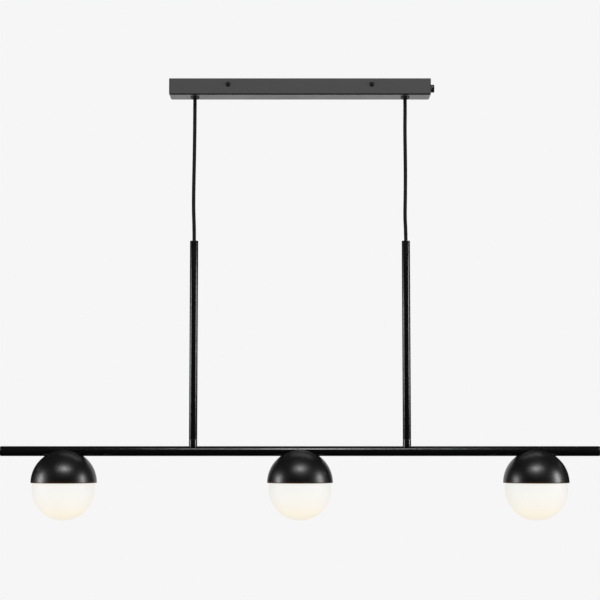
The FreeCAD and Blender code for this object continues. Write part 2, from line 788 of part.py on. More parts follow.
def make_bar():
    """The long tube that carries the shades, with a cap in each end."""
    body = new_body("bar_tube")
    section = new_sketch(body, "YZ_Plane")
    draw_circles(section, [("0", "0", "bar_radius"), ("0", "0", "bar_bore")])
    pad(body, section, "bar_length - 2 * cap_height", both_ways=True)
    rod_holes = new_sketch(body, "XY_Plane")
    draw_circles(rod_holes, [(f"{side} * cord_spacing / 2", "0", "nipple_hole") for _, side in SIDES])
    pocket(body, rod_holes, along=True)
    shade_holes = new_sketch(body, "XY_Plane")
    draw_circles(shade_holes, [(f"{side} * shade_spacing", "0", "nipple_hole") for _, side in SHADES])
    pocket(body, shade_holes)
    keep(place(body, z="bar_axis"))
    for name, side in SIDES:
        cap = turned(
            f"{name}_end_cap",
            [
                ("0", "0 - cap_plug_length"),
                ("bar_bore - fit_gap", "0 - cap_plug_length"),
                ("bar_bore - fit_gap", "0"),
                ("bar_radius", "0"),
                ("bar_radius", "cap_height - cap_round", "bar_radius - cap_round", "cap_height - cap_round"),
                ("bar_radius - cap_round", "cap_height"),
                ("0", "cap_height"),
            ],
        )
        keep(
            place(cap, f"{side} * (bar_length / 2 - cap_height)", "0", "bar_axis", (0, 1, 0), 90 * side)
        )


def make_bar_wiring():
    """The wires in the bar, their drops to the lamp holders and the cords' ends in the rods."""
    members = [
        cylinder(
            "wiring_run",
            "wire_radius",
            "2 * shade_spacing",
            "0 - shade_spacing",
            "0",
            "bar_axis",
            (0, 1, 0),
            90,
        )
    ]
    drop = "(shade_drop - holder_top + holder_socket - fit_gap * 2)"
    for name, side in SHADES:
        x = f"{side} * shade_spacing"
        members.append(
            cylinder(f"wiring_drop_{name}", "wire_radius", drop, x, "0", f"bar_axis - {drop}")
        )
    riser_top = "(stop_top - stop_length - stop_gap * 2)"
    for name, side in SIDES:
        x = f"{side} * cord_spacing / 2"
        height = f"{riser_top} - bar_axis"
        members.append(cylinder(f"wiring_riser_{name}", "cord_radius", height, x, "0", "bar_axis"))
    keep(joined("bar_wiring", members), "bar_wiring")


def make_shade(name, side):
    """A half ball shade, notched where the bar crosses it, and the plate welded inside it."""
    x = f"{side} * shade_spacing"
    shade = turned(
        f"{name}_shade",
        [
            ("shade_inside", "0"),
            ("shade_radius", "0", "0", "0"),
            ("0", "shade_radius"),
            ("0", "shade_inside", "0", "0"),
        ],
    )
    notch = new_sketch(shade, "YZ_Plane")
    draw_circles(notch, [("0", "shade_drop", "saddle_hole")])
    pocket(shade, notch, both_ways=True)
    keep(place(shade, x, "0", "shade_centre"))
    edge = "sqrt(shade_inside * shade_inside - {0} * {0}) - fit_gap"
    plate = turned(
        f"{name}_shade_plate",
        [
            ("nipple_hole", "plate_low"),
            (edge.format("plate_low"), "plate_low"),
            (edge.format("plate_top"), "plate_top"),
            ("nipple_hole", "plate_top"),
        ],
    )
    keep(place(plate, x, "0", "shade_centre"))


def make_saddle_washers():
    """Washers with a hollow top that seat on the round bar."""
    washers = []
    for name, side in SHADES:
        body = turned(
            f"saddle_washer_{name}",
            [
                ("nipple_hole", "plate_top"),
                ("washer_radius", "plate_top"),
                ("washer_radius", "plate_top + washer_height + washer_saddle"),
                ("nipple_hole", "plate_top + washer_height + washer_saddle"),
            ],
        )
        saddle = new_sketch(body, "YZ_Plane")
        draw_circles(saddle, [("0", "shade_drop", "saddle_hole")])
        pocket(body, saddle, both_ways=True)
        washers.append(place(body, f"{side} * shade_spacing", "0", "shade_centre"))
    group("saddle_washers", washers)


def make_carrier(name, side):
    """A turned cup under the plate: its outer thread takes the globe, and the holder hangs in it."""
    inside = "(carrier_thread_radius - carrier_wall)"
    body = turned(
        f"{name}_lamp_carrier",
        [
            ("nipple_hole", "plate_low"),
            ("carrier_flange_radius", "plate_low"),
            ("carrier_flange_radius", "gasket_top"),
            ("carrier_thread_radius", "gasket_top"),
            ("carrier_thread_radius", "carrier_low"),
            (inside, "carrier_low"),
            (inside, "nut_top"),
            ("nipple_hole", "nut_top"),
        ],
    )
    keep(place(body, f"{side} * shade_spacing", "0", "shade_centre"))


def make_carrier_nuts():
    nuts = []
    for name, side in SHADES:
        body = new_body(f"carrier_nut_{name}")
        outline = new_sketch(body, "XY_Plane")
        draw_outline(outline, hexagon("carrier_nut_flats"))
        draw_circles(outline, [("0", "0", "nipple_radius + fit_gap / 2")])
        pad(body, outline, "carrier_nut_height", down=True)
        nuts.append(place(body, f"{side} * shade_spacing", "0", "shade_centre + nut_top"))
    group("carrier_nuts", nuts)


def make_holder(name, side):
    """A ceramic holder, screwed to the nipple, with two contact holes from below."""
    body = turned(
        f"{name}_lamp_holder",
        [
            ("0", "0"),
            ("holder_radius", "0"),
            ("holder_radius", "holder_length - 2"),
            ("holder_radius - 2", "holder_length"),
            ("nipple_radius + fit_gap / 2", "holder_length"),
            ("nipple_radius + fit_gap / 2", "holder_length - holder_socket"),
            ("0", "holder_length - holder_socket"),
        ],
    )
    holes = new_sketch(body, "XY_Plane")
    draw_circles(holes, [(f"{way} * pin_spacing / 2", "0", "pin_hole_radius") for _, way in SIDES])
    pocket(body, holes, "pin_hole_depth", along=True)
    keep(place(body, f"{side} * shade_spacing", "0", "shade_centre + holder_low"))


def make_lamp(name, side):
    """A two pin capsule lamp that plugs in from below."""
    nose = "(lamp_radius * 0.75)"
    body = turned(
        f"{name}_lamp",
        [
            ("0", "0"),
            ("lamp_radius * 0.9", "0"),
            ("lamp_radius", "0 - lamp_radius * 0.6"),
            ("lamp_radius", f"{nose} - lamp_length", f"lamp_radius - {nose}", f"{nose} - lamp_length"),
            (f"lamp_radius - {nose}", "0 - lamp_length"),
            ("0", "0 - lamp_length"),
        ],
    )
    pins = new_sketch(body, "XY_Plane")
    draw_circles(pins, [(f"{way} * pin_spacing / 2", "0", "pin_radius") for _, way in SIDES])
    pad(body, pins, "pin_length")
    keep(place(body, f"{side} * shade_spacing", "0", "shade_centre + holder_low - fit_gap * 2"))


def make_globe(name, side):
    """An opal glass globe with the threaded collar glued in its opening, and the gasket on it."""
    x = f"{side} * shade_spacing"
    gasket = turned(
        f"{name}_globe_gasket",
        [
            ("ring_inside", "ring_top + fit_gap"),
            ("carrier_flange_radius - 0.5", "ring_top + fit_gap"),
            ("carrier_flange_radius - 0.5", "gasket_top - fit_gap"),
            ("ring_inside", "gasket_top - fit_gap"),
        ],
    )
    keep(place(gasket, x, "0", "shade_centre"))
    collar = turned(
        f"{name}_globe_collar",
        [
            ("ring_inside", "glass_top - ring_length"),
            ("ring_outside", "glass_top - ring_length"),
            ("ring_outside", "glass_top"),
            ("carrier_flange_radius", "glass_top"),
            ("carrier_flange_radius", "ring_top"),
            ("ring_inside", "ring_top"),
        ],
    )
    keep(place(collar, x, "0", "shade_centre"))
    opening = "sqrt(globe_inside * globe_inside - glass_rise * glass_rise)"
    shoulder = "sqrt(globe_radius * globe_radius - glass_rise * glass_rise)"
    globe = turned(
        f"{name}_globe",
        [
            (opening, "glass_rise", "0", "0"),
            ("globe_inside", "0", "0", "0"),
            ("0", "0 - globe_inside"),
            ("0", "0 - globe_radius", "0", "0"),
            ("globe_radius", "0", "0", "0"),
            (shoulder, "glass_rise"),
        ],
    )
    keep(place(globe, x, "0", "shade_centre - globe_drop"))


make_canopy_cover()
make_ceiling_bracket()
make_cover_screws()
make_terminal_block()
make_side_inlet()
for name, side in SIDES:
    make_gland(name, side)
    make_canopy_lead(name, side)
make_gland_nuts()
make_cord("left", -1, LEFT_CORD_ROUTE)
make_cord("right", 1, RIGHT_CORD_ROUTE)
for name, side in SIDES:
    make_rod(name, side)
make_nipples()
make_saddle_nuts()
make_bar()
make_bar_wiring()
make_saddle_washers()
make_carrier_nuts()
for name, side in SHADES:
    make_shade(name, side)
    make_carrier(name, side)
    make_holder(name, side)
    make_lamp(name, side)
    make_globe(name, side)
doc.recompute()

for item in doc.Objects:
    if {"Invalid", "Error"} & set(item.State):
        raise RuntimeError(f"{item.Label} failed: {item.State}")
for piece in pieces:
    if piece.Shape.isNull() or not piece.Shape.isValid() or not piece.Shape.Solids:
        raise RuntimeError(f"{piece.Label} has no valid solid")

os.makedirs("parts", exist_ok=True)
for piece in pieces:
    piece.Shape.exportStep(f"parts/{piece.Label}.step")
print(len(pieces), "sub-parts written")
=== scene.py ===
"""Looks of a linear island pendant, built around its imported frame. All lengths are in metres."""
import json
import logging
import math
from collections.abc import Iterable, Sequence
from dataclasses import dataclass, field
from enum import Enum

import bmesh
import bpy
from mathutils import Matrix, Vector


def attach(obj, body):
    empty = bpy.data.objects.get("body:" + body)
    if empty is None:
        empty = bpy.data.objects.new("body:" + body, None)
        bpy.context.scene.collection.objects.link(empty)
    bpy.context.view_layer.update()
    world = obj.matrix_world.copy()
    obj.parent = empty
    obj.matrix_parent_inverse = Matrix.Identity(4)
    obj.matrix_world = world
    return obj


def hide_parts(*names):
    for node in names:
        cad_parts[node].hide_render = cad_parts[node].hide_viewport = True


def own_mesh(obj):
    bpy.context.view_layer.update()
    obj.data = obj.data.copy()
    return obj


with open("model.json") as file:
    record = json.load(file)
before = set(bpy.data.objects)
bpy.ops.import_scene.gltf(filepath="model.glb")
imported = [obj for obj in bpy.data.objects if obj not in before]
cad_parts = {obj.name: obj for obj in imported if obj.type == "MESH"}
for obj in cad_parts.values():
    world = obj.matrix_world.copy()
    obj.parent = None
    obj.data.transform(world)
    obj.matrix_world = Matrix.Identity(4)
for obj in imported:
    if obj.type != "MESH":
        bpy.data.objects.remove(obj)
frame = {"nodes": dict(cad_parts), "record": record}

log = logging.getLogger("pendant")

Outline = Sequence[tuple[float, float]]
Point = tuple[float, float, float]
MM = 0.001
UP: Point = (0.0, 0.0, 1.0)
RIGHT: Point = (1.0, 0.0, 0.0)
BLACK: Point = (0.0, 0.0, 0.0)
WELD = 1e-6


class Side(Enum):
    """The two ends of the lamp, with their sign along the bar."""

    LEFT = -1
    RIGHT = 1

    @property
    def word(self) -> str:
        """The word that names of pieces start with."""
        return self.name.lower()


class Station(Enum):
    """The three places along the bar where a shade hangs."""

    LEFT = -1
    MIDDLE = 0
    RIGHT = 1

    @property
    def word(self) -> str:
        """The word that names of pieces start with."""
        return self.name.lower()


class Roster:
    """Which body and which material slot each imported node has."""

    def __init__(self, record: dict) -> None:
        """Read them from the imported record.

        Args:
            record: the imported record, as the frame gives it.
        """
        groups = record["behaviour"]["bodies"]
        self.body = {node: body for body, nodes in groups.items() for node in nodes}
        self.slot = {row["node"]: row["material_slot"] for row in record["subparts"]}
        self.left = set(self.body)

    def publish(self, piece: bpy.types.Object, nodes: Sequence[str]) -> bpy.types.Object:
        """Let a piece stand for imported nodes, and ride where they ride.

        Args:
            piece: the finished piece, its object at the origin.
            nodes: the nodes that it stands for, the first of which gives its body and slot.

        Returns:
            The piece.
        """
        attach(piece, self.body[nodes[0]])
        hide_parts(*nodes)
        self.left -= set(nodes)
        log.info("%s stands for %s, %d faces", piece.name, ", ".join(nodes), len(piece.data.polygons))
        return piece

    def add_on(self, piece: bpy.types.Object, node: str, slot: str) -> bpy.types.Object:
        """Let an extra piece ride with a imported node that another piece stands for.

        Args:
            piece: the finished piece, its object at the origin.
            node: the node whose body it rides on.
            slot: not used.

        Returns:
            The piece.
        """
        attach(piece, self.body[node])
        log.info("%s rides with %s, %d faces", piece.name, node, len(piece.data.polygons))
        return piece


class NodeSheet:
    """A node tree, with short ways to add nodes to it and wire them."""

    def __init__(self, tree: bpy.types.NodeTree) -> None:
        """Keep the tree that is filled."""
        self.tree = tree

    @classmethod
    def of_material(cls, name: str) -> tuple[bpy.types.Material, "NodeSheet"]:
        """A new material with no nodes, and its sheet.

        Args:
            name: the material's name.

        Returns:
            The material and its sheet.
        """
        material = bpy.data.materials.new(name)
        material.use_nodes = True
        material.node_tree.nodes.clear()
        return material, cls(material.node_tree)

    def add(self, kind: str, values: dict | None = None, **settings: object) -> bpy.types.Node:
        """Add a node.

        Args:
            kind: Blender's name for this type of node.
            values: plain values for its input sockets, by name or index.
            settings: values for the node's own properties.

        Returns:
            The new node.
        """
        node = self.tree.nodes.new(kind)
        for name, value in settings.items():
            setattr(node, name, value)
        for socket, value in (values or {}).items():
            node.inputs[socket].default_value = value
        return node

    def wire(self, source: bpy.types.NodeSocket, target: bpy.types.NodeSocket) -> None:
        """Join an output to an input."""
        self.tree.links.new(source, target)

    def feed(self, target: bpy.types.NodeSocket, value: object) -> None:
        """Give an input a plain value, or join it to the output that is given.

        Args:
            target: the input.
            value: its plain value, or the output that gives it.
        """
        if isinstance(value, bpy.types.NodeSocket):
            self.wire(value, target)
        else:
            target.default_value = value

    def math(self, operation: str, *terms: object, clamp: bool = False) -> bpy.types.NodeSocket:
        """Add a Math node.

        Args:
            operation: what it works out.
            terms: its numbers, or the sockets that give them.
            clamp: whether the result is kept from 0 to 1.

        Returns:
            The socket of its result.
        """
        node = self.add("ShaderNodeMath", operation=operation, use_clamp=clamp)
        for socket, value in zip(node.inputs, terms):
            self.feed(socket, value)
        return node.outputs[0]

    def noise(self, place: bpy.types.NodeSocket, scale: object, detail: float = 2.0) -> bpy.types.NodeSocket:
        """Add a noise pattern.

        Args:
            place: the coordinates that it reads.
            scale: its size in waves per metre, a number or a socket.
            detail: how many finer layers it has.

        Returns:
            The socket of the pattern, about 0.3 to 0.7.
        """
        node = self.add("ShaderNodeTexNoise", {"Detail": detail})
        self.wire(place, node.inputs["Vector"])
        self.feed(node.inputs["Scale"], scale)
        return node.outputs["Fac"]

    def place(self) -> bpy.types.NodeSocket:
        """The coordinates of the piece itself."""
        return self.add("ShaderNodeTexCoord").outputs["Object"]

    def parts(self, vector: bpy.types.NodeSocket) -> list[bpy.types.NodeSocket]:
        """The X, Y and Z of a vector.

        Args:
            vector: the socket of the vector.

        Returns:
            Their three sockets.
        """
        node = self.add("ShaderNodeSeparateXYZ")
        self.wire(vector, node.inputs[0])
        return list(node.outputs)

    def vector(self, *numbers: object) -> bpy.types.NodeSocket:
        """A vector from its X, Y and Z.

        Args:
            numbers: the three numbers, or the sockets that give them.

        Returns:
            The socket of the vector.
        """
        node = self.add("ShaderNodeCombineXYZ")
        for socket, value in zip(node.inputs, numbers):
            self.feed(socket, value)
        return node.outputs[0]

    def blend(self, share: bpy.types.NodeSocket, first: object, second: object) -> bpy.types.NodeSocket:
        """Mix two colours.

        Args:
            share: how much of the second there is, 0 to 1.
            first: the first colour, or the socket that gives it.
            second: the second colour, or the socket that gives it.

        Returns:
            The socket of the mixed colour.
        """
        node = self.add("ShaderNodeMix", data_type="RGBA")
        self.wire(share, node.inputs[0])
        for index, colour in ((6, first), (7, second)):
            self.feed(node.inputs[index], (*colour, 1.0) if isinstance(colour, tuple) else colour)
        return node.outputs[2]

    def blend_shaders(self, share: bpy.types.NodeSocket, first: bpy.types.Node,
                      second: bpy.types.Node) -> bpy.types.Node:
        """Mix two shaders.

        Args:
            share: how much of the second there is, 0 to 1.
            first: the node of the first shader.
            second: the node of the second shader.

        Returns:
            The node that mixes them.
        """
        node = self.add("ShaderNodeMixShader")
        for socket, source in zip(node.inputs, (share, first.outputs[0], second.outputs[0])):
            self.wire(source, socket)
        return node


class Effects:
    """The shader node groups that several finishes share."""

    def __init__(self) -> None:
        """Build each group once."""
        self.paint_skin = self._paint_skin()
        self.handling = self._handling()
        self.resting_dust = self._resting_dust()
        self.drawn_lines = self._drawn_lines()
        self.lathe_rings = self._lathe_rings()
        self.braid = self._braid()

    @staticmethod
    def _group(name: str, inputs: dict[str, float], outputs: Iterable[str]) -> tuple[NodeSheet, dict, dict]:
        """Start a node group with named number sockets.

        Args:
            name: the group's name.
            inputs: its inputs, with their usual values.
            outputs: its outputs.

        Returns:
            Its sheet, its input sockets and its output sockets, both by name.
        """
        tree = bpy.data.node_groups.new(name, "ShaderNodeTree")
        for word, value in inputs.items():
            socket = tree.interface.new_socket(word, in_out="INPUT", socket_type="NodeSocketFloat")
            socket.default_value = value
        for word in outputs:
            tree.interface.new_socket(word, in_out="OUTPUT", socket_type="NodeSocketFloat")
        sheet = NodeSheet(tree)
        given = sheet.add("NodeGroupInput").outputs
        taken = sheet.add("NodeGroupOutput").inputs
        return sheet, {s.name: s for s in given if s.name}, {s.name: s for s in taken if s.name}

    def _paint_skin(self) -> bpy.types.NodeTree:
        """The faint waviness and fine grit of a baked powder coat.

        Returns:
            The group's tree.
        """
        sheet, given, taken = self._group("paint_skin", {"Wave": 700.0, "Grit": 3200.0}, ["Height"])
        place, wave_share = sheet.place(), 0.7
        wave = sheet.math("MULTIPLY", sheet.noise(place, given["Wave"], 1.0), wave_share)
        grit = sheet.math("MULTIPLY", sheet.noise(place, given["Grit"]), 1.0 - wave_share)
        sheet.wire(sheet.math("ADD", wave, grit), taken["Height"])
        return sheet.tree

    def _handling(self) -> bpy.types.NodeTree:
        """Broad patches where a surface is a little duller or shinier from hands and cleaning.

        Returns:
            The group's tree.
        """
        sheet, given, taken = self._group("handling", {"Size": 14.0, "Middle": 0.4, "Swing": 0.1},
                                          ["Roughness", "Patch"])
        broad = sheet.noise(sheet.place(), given["Size"], 4.0)
        offset = sheet.math("MULTIPLY", sheet.math("SUBTRACT", broad, 0.5), given["Swing"])
        sheet.wire(sheet.math("ADD", offset, given["Middle"], clamp=True), taken["Roughness"])
        sheet.wire(broad, taken["Patch"])
        return sheet.tree

    def _resting_dust(self) -> bpy.types.NodeTree:
        """Where a little dust lies: the faces that look up, broken by a fine noise.

        Returns:
            The group's tree.
        """
        sheet, given, taken = self._group("resting_dust", {"Amount": 0.2}, ["Mask"])
        coordinates = sheet.add("ShaderNodeTexCoord").outputs
        upwards = sheet.parts(coordinates["Normal"])[2]
        facing = sheet.math("POWER", sheet.math("MAXIMUM", upwards, 0.0), 3.0)
        specks = sheet.noise(coordinates["Object"], 240.0, 4.0)
        lying = sheet.math("MULTIPLY", facing, specks)
        sheet.wire(sheet.math("MULTIPLY", lying, given["Amount"]), taken["Mask"])
        return sheet.tree

    def _drawn_lines(self) -> bpy.types.NodeTree:
        """Fine parallel lines along X, as on rolled and brushed sheet.

        Returns:
            The group's tree.
        """
        sheet, given, taken = self._group("drawn_lines", {"Fineness": 2400.0, "Length": 0.02},
                                          ["Height", "Tone"])
        x, y, z = sheet.parts(sheet.place())
        drawn = sheet.vector(sheet.math("MULTIPLY", x, given["Length"]), y, z)
        sheet.wire(sheet.noise(drawn, given["Fineness"], 3.0), taken["Height"])
        sheet.wire(sheet.noise(drawn, 160.0, 3.0), taken["Tone"])
        return sheet.tree

    def _lathe_rings(self) -> bpy.types.NodeTree:
        """The fine level lines that a lathe leaves round a piece with an upright axis.

        Returns:
            The group's tree.
        """
        sheet, given, taken = self._group("lathe_rings", {"Fineness": 2600.0}, ["Height"])
        x, y, z = sheet.parts(sheet.place())
        drift = 0.03
        turned = sheet.vector(sheet.math("MULTIPLY", x, drift), sheet.math("MULTIPLY", y, drift), z)
        sheet.wire(sheet.noise(turned, given["Fineness"]), taken["Height"])
        return sheet.tree

    def _braid(self) -> bpy.types.NodeTree:
        """The crossing yarns of a braided sleeve, from the cord's own UV map.

        Returns:
            The group's tree.
        """
        sheet, given, taken = self._group("braid", {"Around": 12.0, "Along": 100.0, "Yarns": 3.0},
                                          ["Height", "Shade"])
        u, v, _ = sheet.parts(sheet.add("ShaderNodeUVMap", uv_map="UVMap").outputs[0])
        around = sheet.math("MULTIPLY", v, given["Around"])
        along = sheet.math("MULTIPLY", u, given["Along"])
        ridges = []
        for operation in ("ADD", "SUBTRACT"):
            turn = sheet.math(operation, along, around)
            yarn = sheet.math("MULTIPLY", sheet.math("MULTIPLY", turn, given["Yarns"]), math.tau)
            ridges.append(sheet.math("MULTIPLY_ADD", sheet.math("SINE", yarn), 0.5, 0.5))
        waves = [sheet.math("SINE", sheet.math("MULTIPLY", way, math.tau)) for way in (around, along)]
        over = sheet.math("GREATER_THAN", sheet.math("MULTIPLY", *waves), 0.0)
        mix = sheet.add("ShaderNodeMix", data_type="FLOAT")
        for socket, source in zip((mix.inputs[0], mix.inputs[2], mix.inputs[3]), (over, *ridges)):
            sheet.wire(source, socket)
        sheet.wire(mix.outputs[0], taken["Height"])
        groove = 0.15
        sheet.wire(sheet.math("MULTIPLY_ADD", mix.outputs[0], 1.0 - groove, groove), taken["Shade"])
        return sheet.tree


class Surface:
    """A material in the making: its sheet, its shader and the effects that it may use."""

    def __init__(self, finish: "Finish", effects: Effects) -> None:
        """Start it with the finish's plain colour and roughness.

        Args:
            finish: the finish that it shows.
            effects: the node groups that finishes share.
        """
        self.finish, self.effects = finish, effects
        self.material, self.sheet = NodeSheet.of_material(finish.name)
        shader = self.sheet.add("ShaderNodeBsdfPrincipled", {"Base Color": (*finish.colour, 1.0),
                                                             "Roughness": finish.roughness})
        self.inputs = shader.inputs
        out = self.sheet.add("ShaderNodeOutputMaterial")
        self.sheet.wire(shader.outputs[0], out.inputs["Surface"])

    def place_group(self, tree: bpy.types.NodeTree, **values: float) -> bpy.types.bpy_prop_collection:
        """Place a shared group.

        Args:
            tree: the group.
            values: its input values by name.

        Returns:
            The group's outputs.
        """
        return self.sheet.add("ShaderNodeGroup", values, node_tree=tree).outputs

    def wear(self, size: float, swing: float) -> bpy.types.NodeSocket:
        """Vary the roughness in broad patches.

        Args:
            size: waves per metre.
            swing: how far the roughness leaves the finish's own.

        Returns:
            The socket of the patches.
        """
        patches = self.place_group(self.effects.handling, Size=size, Middle=self.finish.roughness,
                                   Swing=swing)
        self.sheet.wire(patches["Roughness"], self.inputs["Roughness"])
        return patches["Patch"]

    def bump(self, height: bpy.types.NodeSocket, depth: float) -> None:
        """Roughen the shader's normal by a pattern.

        Args:
            height: the socket of the pattern.
            depth: how high its full range stands.
        """
        node = self.sheet.add("ShaderNodeBump", {"Strength": 1.0, "Distance": depth})
        self.sheet.wire(height, node.inputs["Height"])
        self.sheet.wire(node.outputs[0], self.inputs["Normal"])

    def tint(self, mask: bpy.types.NodeSocket, other: Point) -> None:
        """Mix the finish's colour towards another one by a mask of 0 to 1."""
        self.sheet.wire(self.sheet.blend(mask, self.finish.colour, other), self.inputs["Base Color"])


@dataclass(frozen=True)
class Finish:
    """A finish: what all of them share."""

    name: str
    colour: Point
    roughness: float

    def material(self, effects: Effects) -> bpy.types.Material:
        """Build the material of this finish.

        Args:
            effects: the node groups that finishes share.

        Returns:
            The material.
        """
        surface = Surface(self, effects)
        self.dress(surface)
        return surface.material

    def dress(self, surface: Surface) -> None:
        """Wire this finish's own nodes to the shader."""
        raise NotImplementedError


@dataclass(frozen=True)
class PowderCoat(Finish):
    """Baked powder paint on metal."""

    skin_depth: float = 0.012 * MM
    wave: float = 700.0
    dust: float = 0.12
    specular: float = 0.5
    dust_colour: Point = (0.22, 0.21, 0.2)

    def dress(self, surface: Surface) -> None:
        """Wire the waviness, the patches and the dust.

        Args:
            surface: the material in the making.
        """
        surface.inputs["Specular IOR Level"].default_value = self.specular
        surface.wear(size=14.0, swing=0.16)
        dust = surface.place_group(surface.effects.resting_dust, Amount=self.dust)
        surface.tint(dust["Mask"], self.dust_colour)
        coat = surface.place_group(surface.effects.paint_skin, Wave=self.wave)
        surface.bump(coat["Height"], self.skin_depth)


@dataclass(frozen=True)
class LitLipPaint(PowderCoat):
    """Powder paint with a painted warm glow along a shade's lip, standing in for the light that the lit globe
    casts there.
    """

    lip: float = -780.5 * MM
    reach: float = 6 * MM
    # colour of the painted glow: emission standing in for the globe's light on the lip
    gleam: Point = (1.0, 0.36, 0.07)
    strength: float = 0.042

    def dress(self, surface: Surface) -> None:
        """Wire the paint, then the painted glow by the height above the lip.

        Args:
            surface: the material in the making.
        """
        super().dress(surface)
        surface.inputs["Emission Strength"].default_value = self.strength
        sheet = surface.sheet
        height = sheet.parts(sheet.place())[2]
        rise = sheet.math("DIVIDE", sheet.math("SUBTRACT", height, self.lip), self.reach)
        near = sheet.math("POWER", sheet.math("SUBTRACT", 1.0, rise, clamp=True), 2.0)
        # painted glow: emission that fades with the height above the lip
        sheet.wire(sheet.blend(near, BLACK, self.gleam), surface.inputs["Emission Color"])


@dataclass(frozen=True)
class FoldedSheetPaint(PowderCoat):
    """Powder paint on folded sheet, with painted shade darkening it along the bends."""

    # colour of the painted shade along the bends
    bend: Point = (0.004, 0.004, 0.0042)
    spread: float = 8.0

    def dress(self, surface: Surface) -> None:
        """Wire the paint, then the painted shade along the bends, by how far the sheet is turned between two
        faces.

        Args:
            surface: the material in the making.
        """
        super().dress(surface)
        sheet, paint = surface.sheet, surface.inputs["Base Color"]
        normal = sheet.add("ShaderNodeTexCoord").outputs["Normal"]
        across, along, upright = (sheet.math("ABSOLUTE", part) for part in sheet.parts(normal))
        flat = sheet.math("MAXIMUM", sheet.math("MAXIMUM", across, along), upright)
        # painted shade: the base colour darkens where the normal is turned between two faces
        turned = sheet.math("MULTIPLY", sheet.math("SUBTRACT", 1.0, flat), self.spread, clamp=True)
        sheet.wire(sheet.blend(turned, paint.links[0].from_socket, self.bend), paint)


@dataclass(frozen=True)
class Moulding(Finish):
    """Moulded plastic, ceramic or rubber with a fine grain."""

    grain: float = 1500.0
    grain_depth: float = 0.02 * MM
    stain: Point = (0.5, 0.47, 0.42)
    stain_amount: float = 0.1

    def dress(self, surface: Surface) -> None:
        """Wire the grain and faint stains.

        Args:
            surface: the material in the making.
        """
        patches = surface.wear(size=60.0, swing=0.12)
        surface.tint(surface.sheet.math("MULTIPLY", patches, self.stain_amount), self.stain)
        coat = surface.place_group(surface.effects.paint_skin, Wave=self.grain, Grit=self.grain * 3)
        surface.bump(coat["Height"], self.grain_depth)


@dataclass(frozen=True)
class PlatedSheet(Finish):
    """Zinc plated steel with rolling lines."""

    cloud: Point = (0.5, 0.51, 0.54)
    line_depth: float = 0.006 * MM

    def dress(self, surface: Surface) -> None:
        """Wire the lines and the cloudy tone of the plating.

        Args:
            surface: the material in the making.
        """
        surface.inputs["Metallic"].default_value = 1.0
        surface.wear(size=45.0, swing=0.3)
        lines = surface.place_group(surface.effects.drawn_lines)
        surface.tint(lines["Tone"], self.cloud)
        surface.bump(lines["Height"], self.line_depth)


@dataclass(frozen=True)
class TurnedMetal(Finish):
    """Bare metal off the lathe."""

    ring_depth: float = 0.008 * MM

    def dress(self, surface: Surface) -> None:
        """Wire the tool's fine rings.

        Args:
            surface: the material in the making.
        """
        surface.inputs["Metallic"].default_value = 1.0
        surface.wear(size=70.0, swing=0.15)
        rings = surface.place_group(surface.effects.lathe_rings)
        surface.bump(rings["Height"], self.ring_depth)


@dataclass(frozen=True)
class BraidedTextile(Finish):
    """The woven sleeve of a cord."""

    highlight: Point = (0.019, 0.019, 0.0203)
    crossings: float = 171.0
    yarn_depth: float = 0.07 * MM

    def dress(self, surface: Surface) -> None:
        """Wire the yarns of the braid.

        Args:
            surface: the material in the making.
        """
        for name, value in (("Sheen Weight", 0.01), ("Sheen Roughness", 0.5), ("Specular IOR Level", 0.03)):
            surface.inputs[name].default_value = value
        yarns = surface.place_group(surface.effects.braid, Along=self.crossings)
        surface.tint(yarns["Shade"], self.highlight)
        surface.bump(yarns["Height"], self.yarn_depth)


@dataclass(frozen=True)
class OpalGlass(Finish):
    """White glass that is lit from inside, brightest under its shade and warmer below."""

    strength: float = 1.0
    low: float = -852 * MM
    high: float = -780 * MM
    glow: Sequence[tuple[float, Point]] = ((0.0, (0.955, 0.9, 0.79)), (0.12, (0.955, 0.885, 0.735)),
                                           (0.23, (0.95, 0.89, 0.75)), (0.41, (0.905, 0.86, 0.785)),
                                           (0.68, (0.84, 0.825, 0.78)), (0.87, (0.8, 0.79, 0.76)),
                                           (1.0, (0.82, 0.81, 0.77)))
    rim_fall: float = 0.13
    ripple: float = 45.0
    ripple_depth: float = 0.05 * MM

    def dress(self, surface: Surface) -> None:
        """Wire the glow by height, its fall towards the outline and the waviness of blown glass.

        Args:
            surface: the material in the making.
        """
        surface.inputs["Emission Strength"].default_value = self.strength
        surface.inputs["Specular IOR Level"].default_value = 0.1
        sheet = surface.sheet
        place = sheet.place()
        height = sheet.add("ShaderNodeMapRange", {"From Min": self.low, "From Max": self.high})
        sheet.wire(sheet.parts(place)[2], height.inputs["Value"])
        ramp = sheet.add("ShaderNodeValToRGB")
        stops = ramp.color_ramp.elements
        while len(stops) < len(self.glow):
            stops.new(0.5)
        for stop, (where, colour) in zip(stops, self.glow):
            stop.position, stop.color = where, (*colour, 1.0)
        sheet.wire(height.outputs[0], ramp.inputs[0])
        facing = sheet.add("ShaderNodeLayerWeight", {"Blend": 0.5}).outputs["Facing"]
        fall = sheet.math("MULTIPLY", facing, self.rim_fall)
        sheet.wire(sheet.blend(fall, ramp.outputs[0], BLACK), surface.inputs["Emission Color"])
        surface.wear(size=30.0, swing=0.1)
        surface.bump(sheet.noise(place, self.ripple, 1.0), self.ripple_depth)


@dataclass(frozen=True)
class ClearGlass(Finish):
    """The thin clear capsule of a lamp."""

    def dress(self, surface: Surface) -> None:
        """Let light through, with a slight haze where it was handled.

        Args:
            surface: the material in the making.
        """
        surface.inputs["Transmission Weight"].default_value = 1.0
        surface.inputs["IOR"].default_value = 1.45
        surface.wear(size=90.0, swing=0.12)


